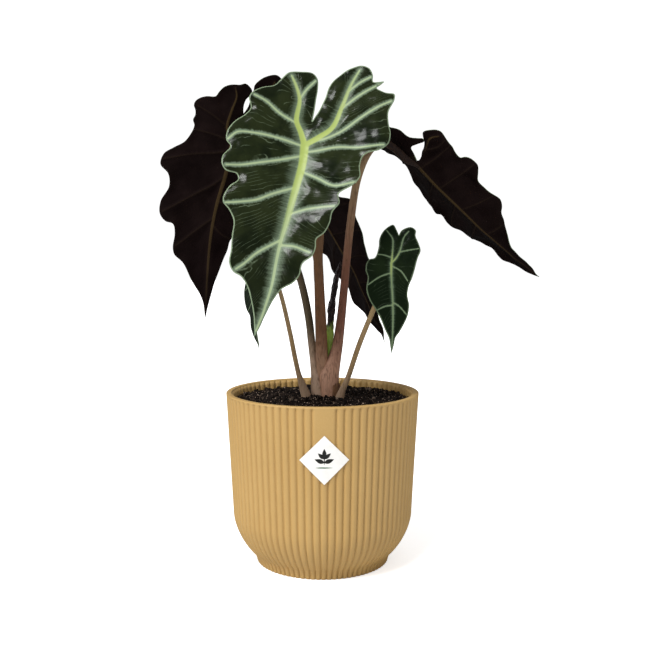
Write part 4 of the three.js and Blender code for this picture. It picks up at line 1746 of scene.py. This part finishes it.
    def relief(self, flat: np.ndarray, fields: dict[str, np.ndarray]) -> np.ndarray:
        """Height of the puckered sheet out of the plain bent leaf, in millimetres.

        Args:
            flat: Points on the flat leaf.
            fields: What is known about each point.

        Returns:
            The height of each point.
        """
        form = self.form
        edge = fields["field"][:, 0]
        pillow = form.pucker * (1 - np.exp(-((fields["bare"] / 6.0) ** 2)))
        pillow *= 0.85 + 0.35 * waves(flat, 18, form.seed)
        pillow *= smoothstep(-2.0, 7.0, edge)
        ruffle = 1.6 * form.ruffle * waves(flat, 19, form.seed + 5, 2) * np.exp(-edge / 9)
        small = 0.1 * waves(flat, 6, form.seed + 9, 2) * smoothstep(0.5, 3, fields["bare"])
        return (pillow + ruffle + small) * smoothstep(0, 0.06, 1 - flat[:, 1] / form.length)

    def build(self) -> None:
        """Builds the blade and puts it in place."""
        flat, faces = self.sheet()
        fields = self.fields(flat)
        middle = self.form.place(flat, self.relief(flat, fields)) + self.soil_centre
        normals = point_normals(middle, faces)
        _, out, _ = self.form.directions()
        if (normals @ out).mean() < 0:
            faces = faces[:, ::-1]
            normals = -normals
        thin = smoothstep(-0.2, 1.2, fields["field"][:, 0]) * (1 - self.edge_share) + self.edge_share
        half = 0.5 * self.thickness * thin
        reach = np.clip(flat[:, 1] / self.form.length, 0, 1)
        ridge = np.clip(1 - (fields["vein"][:, 0] * 2.4) ** 2, 0, 1) ** 0.5
        ridge *= 0.8 * (1 - 0.75 * reach) * self.form.scale**0.5
        face_side = middle + normals * (half - 0.12 * ridge)[:, None]
        under_side = middle - normals * (half + ridge)[:, None]
        count = len(flat)
        edges = [pair for a, b, c in faces.tolist() for pair in ((a, b), (b, c), (c, a))]
        known = set(edges)
        rim = [(b, a, a + count, b + count) for a, b in edges if (b, a) not in known]
        doubled = {key: np.concatenate([values] * 2) for key, values in fields.items() if key != "bare"}
        blade = mesh_object(
            f"{self.form.name}_blade",
            np.vstack([face_side, under_side]) * MM,
            [*map(tuple, faces), *map(tuple, faces[:, ::-1] + count), *rim],
            [self.face.build(), LEAF_UNDERSIDE.build()],
            [0] * len(faces) + [1] * len(faces) + [0] * len(rim),
            doubled,
        )
        dress(blade, "blade", f"blade_{self.form.name}")


@dataclass
class Stem:
    """A round-sided shoot lofted through stations, closed at both ends."""

    name: str
    stations: Sequence[Sequence[float]]
    sides: int = 28
    step: float = 1.5
    ribs: float = 0.02
    knobs: float = 0.0

    def build(self, finish: Finish, slot: str, *nodes: str) -> None:
        """Builds the shoot.

        Args:
            finish: Its finish.
            slot: Passed on to dress, which does not use it.
            nodes: CAD nodes that it stands for.
        """
        loft = smooth_curve(np.array(self.stations, dtype=float), self.step)
        path, widths = loft[:, :3], np.maximum(loft[:, 3:], 0.15)
        _, sides, others = curve_frames(path)
        turns = 2 * np.pi * np.arange(self.sides) / self.sides
        rings = []
        for k, centre in enumerate(path):
            twist = turns + path[k, 2] / 3.1
            local = 1 + self.ribs * np.cos(9 * turns)
            local += self.knobs * np.sin(2 * twist) * np.cos(path[k, 2] / 2.3)
            across = sides[k] * (widths[k, 0] * local * np.cos(turns))[:, None]
            rings.append(centre + across + others[k] * (widths[k, 1] * local * np.sin(turns))[:, None])
        along = np.repeat(np.linspace(0, 1, len(path)), self.sides)
        shoot = mesh_object(
            self.name,
            np.vstack([*rings, path[0], path[-1]]) * MM,
            loft_faces(len(path), self.sides),
            [finish.build()],
            fields={"along": np.concatenate([along, [0.0, 1.0]])},
        )
        dress(shoot, slot, *nodes)


@dataclass
class Petiole:
    """A leaf's stalk, from its sheathing foot to the blade, where it runs on under the midrib."""

    form: LeafForm
    soil_centre: np.ndarray

    def stations(self) -> np.ndarray:
        """The stalk's stations in the part's frame, with its neck under the blade.

        Returns:
            Place and two half-widths of each station, from the foot up.
        """
        form = self.form
        along, out, _ = form.directions()
        junction = np.array(form.junction) + self.soil_centre
        stalk = np.array(form.stalk, dtype=float)
        stalk[:, :3] += self.soil_centre
        top = stalk[-1, 3]
        neck = [
            [*(junction - out * (top + 1.2) - along * 1.5), top, top],
            [*(junction - out * (0.55 * top + 0.6) + along * 4), 0.62 * top, 0.6 * top],
            [*(junction - out * 1.1 + along * 11), 0.4 * top, 0.35 * top],
            [*(self.on_midrib(16 * form.scale) - out * 0.6), 0.25 * top, 0.2 * top],
        ]
        return np.vstack([stalk, neck])

    def on_midrib(self, distance: float) -> np.ndarray:
        """The place on the bent blade at a distance along its midrib."""
        return self.form.place(np.array([[0.0, distance]]), np.zeros(1))[0] + self.soil_centre

    def build(self, finish: StalkFinish) -> None:
        """Builds the stalk and puts it in place."""
        name = self.form.name
        Stem(f"{name}_stalk", self.stations()).build(finish, "petiole", f"petiole_{name}")


@dataclass
class Crown:
    """What stands at the foot of the stalks: the corm, a rolled young leaf and a torn dry sheath."""

    soil_centre: np.ndarray
    corm_low: np.ndarray
    corm_high: np.ndarray
    furled: Sequence[tuple[float, float, float, float, float]] = (
        (4.6, 3.2, 10, 2.2, 2.2),
        (5.0, 4.5, 30, 2.5, 2.4),
        (5.2, 5.5, 41, 2.7, 2.6),
        (5.4, 6.0, 50, 3.0, 2.8),
        (6.1, 6.5, 58, 2.4, 2.3),
        (6.6, 6.8, 66, 2.8, 2.6),
        (7.7, 7.0, 74, 2.0, 1.9),
        (9.0, 7.0, 82, 2.4, 2.2),
        (10.4, 7.0, 90, 1.8, 1.7),
        (12.4, 7.0, 97, 1.2, 1.1),
        (13.4, 7.0, 100.5, 0.4, 0.4),
    )

    def build_corm(self) -> None:
        """Builds the lumpy corm, its top just under the crumbs."""
        middle = (self.corm_low + self.corm_high) / 2
        reach = (self.corm_high - self.corm_low) / 2
        rows, sides = 26, 40
        rings = []
        for row in range(1, rows):
            lean = math.pi * (row / rows - 0.5)
            turns = 2 * np.pi * np.arange(sides) / sides
            flat = math.cos(lean) ** 0.6
            ring = [flat * np.cos(turns), flat * np.sin(turns), np.full(sides, math.sin(lean))]
            ring = np.column_stack(ring)
            rings.append(ring * (0.94 + 0.05 * waves(ring, 0.4, 3.3))[:, None])
        points = np.vstack([*rings, (0, 0, -0.97), (0, 0, 0.97)]) * reach * (0.62, 0.62, 0.94) + middle
        faces = loft_faces(rows - 1, sides)
        finish = DryFinish("corm_skin", color=(0.09, 0.055, 0.032), dark=(0.03, 0.018, 0.011))
        dress(mesh_object("corm", points * MM, faces, [finish.build()]), "corm", "corm")

    def build_furled_leaf(self) -> None:
        """Builds the rolled young leaf."""
        stations = np.array(self.furled, dtype=float)
        stations[:, :3] += self.soil_centre
        leaf = Stem("furled_leaf", stations, sides=36, step=0.9, ribs=0.03, knobs=0.13)
        leaf.build(FurledFinish("furled_leaf_skin"), "furled_leaf", "furled_leaf")

    def build_dry_sheath(self) -> None:
        """Builds the torn flap of dry skin on the right of the crown."""
        columns, rows, thickness = 30, 26, 0.35
        middle_x, middle_y, foot = 5.1, -2.3, 1.5
        angles = np.radians(np.linspace(-72, 18, columns))
        outer = []
        for layer in (0.0, thickness):
            for row in range(rows):
                share = row / (rows - 1)
                for k, angle in enumerate(angles):
                    tear = noise.fractal(Vector((k / 4.2, 3.1, 0.7)), 0.8, 2.2, 4)
                    spur = 3.2 * math.exp(-(((k - 21) / 2.2) ** 2))
                    top = 11.5 + 3.4 * tear + spur
                    height = foot + share * (top - foot)
                    curl = (0.9 + 0.35 * spur) * max(0.0, share - 0.55) * (1 + tear)
                    lift = 0.35 + layer + curl
                    radius_x = 5.9 + 0.09 * height + lift
                    radius_y = 5.3 - 0.04 * height + lift
                    x, y = radius_x * math.cos(angle), radius_y * math.sin(angle)
                    outer.append((middle_x + x, middle_y + y, height))
        count = rows * columns
        faces: list[tuple[int, ...]] = []
        for row in range(rows - 1):
            for k in range(columns - 1):
                a = row * columns + k
                quad = (a, a + columns, a + columns + 1, a + 1)
                faces += [tuple(count + corner for corner in reversed(quad)), quad]
        round_trip = list(range(columns))
        round_trip += [row * columns + columns - 1 for row in range(1, rows)]
        round_trip += [count - 1 - k for k in range(1, columns)]
        round_trip += [row * columns for row in range(rows - 2, -1, -1)]
        faces += [(a, b, b + count, a + count) for a, b in zip(round_trip, round_trip[1:])]
        vertices = (np.array(outer) + self.soil_centre) * MM
        finish = DryFinish("dry_sheath_skin", color=(0.3, 0.15, 0.07), dark=(0.08, 0.04, 0.022))
        dress(mesh_object("dry_sheath", vertices, faces, [finish.build()]), "dry_sheath", "dry_sheath")

    def build(self) -> None:
        """Builds the three pieces."""
        self.build_corm()
        self.build_furled_leaf()
        self.build_dry_sheath()


# ---------------------------------------------------------------- studio


@dataclass(frozen=True)
class SoftLight:
    """A distant light: toward points from the object to it, width is in degrees."""

    name: str
    toward: tuple[float, float, float]
    width: float
    strength: float

    def build(self) -> None:
        """Adds the light."""
        data = bpy.data.lights.new(self.name, "SUN")
        data.angle = math.radians(self.width)
        data.energy = self.strength
        light = bpy.data.objects.new(self.name, data)
        light.rotation_euler = Vector(self.toward).to_track_quat("Z", "Y").to_euler()
        bpy.context.scene.collection.objects.link(light)


@dataclass
class Studio:
    """Plain pale floor, soft lights and the camera.

    The floor glows for the camera alone, which keeps it white. Reflections see a darker floor and
    surround, which keeps dark leaves dark.
    """

    lens: float = 50.0
    sensor_width: float = 36.0
    camera_place: tuple[float, float, float] = (0.0, -0.648, 0.2266)
    pitch_down: float = 0.081
    floor_reach: float = 6.0
    floor_color: Color = (0.9, 0.9, 0.9)
    mirrored_floor: Color = (0.12, 0.12, 0.12)
    floor_glow: float = 0.6
    backdrop: float = 1.05
    surround: float = 0.55
    mirrored_surround: float = 0.14
    lights: Sequence[SoftLight] = (
        SoftLight("key_light", (-0.36, -0.48, 0.8), 22.0, 2.6),
        SoftLight("side_light", (-0.82, -0.42, 0.38), 34.0, 0.6),
    )

    def build_floor(self) -> None:
        """Lays the floor, well past the camera's view."""
        material = bpy.data.materials.new("studio_floor")
        material.use_nodes = True
        graph = Graph(material.node_tree)
        color = graph.mix(graph.light_path("Glossy"), self.floor_color, self.mirrored_floor)
        graph.coat(color, 0.9, 0.0)
        inputs = material.node_tree.nodes["Principled BSDF"].inputs
        graph.feed(inputs["Emission Color"], (1.0, 1.0, 1.0))
        graph.feed(inputs["Emission Strength"], graph.times(graph.light_path("Camera"), self.floor_glow))
        corners = [(x, y, 0) for x, y in ((-1, -1), (1, -1), (1, 1), (-1, 1))]
        floor = mesh_object("studio_floor", self.floor_reach * np.array(corners), [(0, 1, 2, 3)], [material])

    def build_world(self) -> None:
        """Surrounds the scene with soft white light, which the camera sees as a white backdrop."""
        world = bpy.data.worlds.new("studio_light")
        bpy.context.scene.world = world
        world.use_nodes = True
        graph = Graph(world.node_tree)
        inputs = world.node_tree.nodes["Background"].inputs
        strength = graph.remap(graph.light_path("Glossy"), 0, 1, self.surround, self.mirrored_surround)
        seen = graph.times(graph.light_path("Camera"), self.backdrop - self.surround)
        graph.feed(inputs["Color"], (1.0, 1.0, 1.0))
        graph.feed(inputs["Strength"], graph.plus(strength, seen))

    def build_camera(self) -> None:
        """Sets up the camera."""
        data = bpy.data.cameras.new("studio_camera")
        data.lens = self.lens
        data.sensor_width = self.sensor_width
        data.clip_start = 0.01
        camera = bpy.data.objects.new("studio_camera", data)
        camera.location = self.camera_place
        camera.rotation_euler = (math.pi / 2 - self.pitch_down, 0.0, 0.0)
        bpy.context.scene.collection.objects.link(camera)
        bpy.context.scene.camera = camera

    def build(self) -> None:
        """Builds the floor, the lights and the camera."""
        self.build_floor()
        self.build_world()
        for light in self.lights:
            light.build()
        self.build_camera()
        bpy.context.scene.view_settings.view_transform = "Standard"


STALKS = {"left": OLIVE_STALK, "right": RED_STALK, "small_right": TAN_STALK, "small_left": TAN_STALK}
MOUND = 2.5  # how far the soil rises at the crown, in millimetres
SPACING = 1.0  # between the points of a leaf, in millimetres


def main() -> None:
    """Builds every piece in order; each piece logs its vertex count as it is placed."""
    logging.basicConfig(level=logging.INFO, format="%(message)s")
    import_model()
    _, pot_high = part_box("pot")
    _, soil_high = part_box("soil")
    corm_low, corm_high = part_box("corm")
    label_low, label_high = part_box("label")
    soil_level = soil_high[2] / MM - MOUND
    soil_centre = np.array([0.0, 0.0, soil_level])
    pot = FlutedPot(rim_radius=pot_high[0] / MM, height=pot_high[2] / MM, soil_level=soil_level)
    pot.build()
    PotLabel(pot, centre_height=(label_low[2] + label_high[2]) / 2 / MM).build()
    PottingMix(radius=soil_high[0] / MM, level=soil_level, mound=MOUND).build()
    spacing = SPACING
    for form in LEAVES:
        face = YOUNG_LEAF_FACE if form.name.startswith("small") else LEAF_FACE
        LeafBlade(form, soil_centre, face, spacing).build()
        Petiole(form, soil_centre).build(STALKS.get(form.name, BROWN_STALK))
    Crown(soil_centre, np.array(corm_low) / MM, np.array(corm_high) / MM).build()
    Studio().build()


if __name__ == "__main__":
    main()
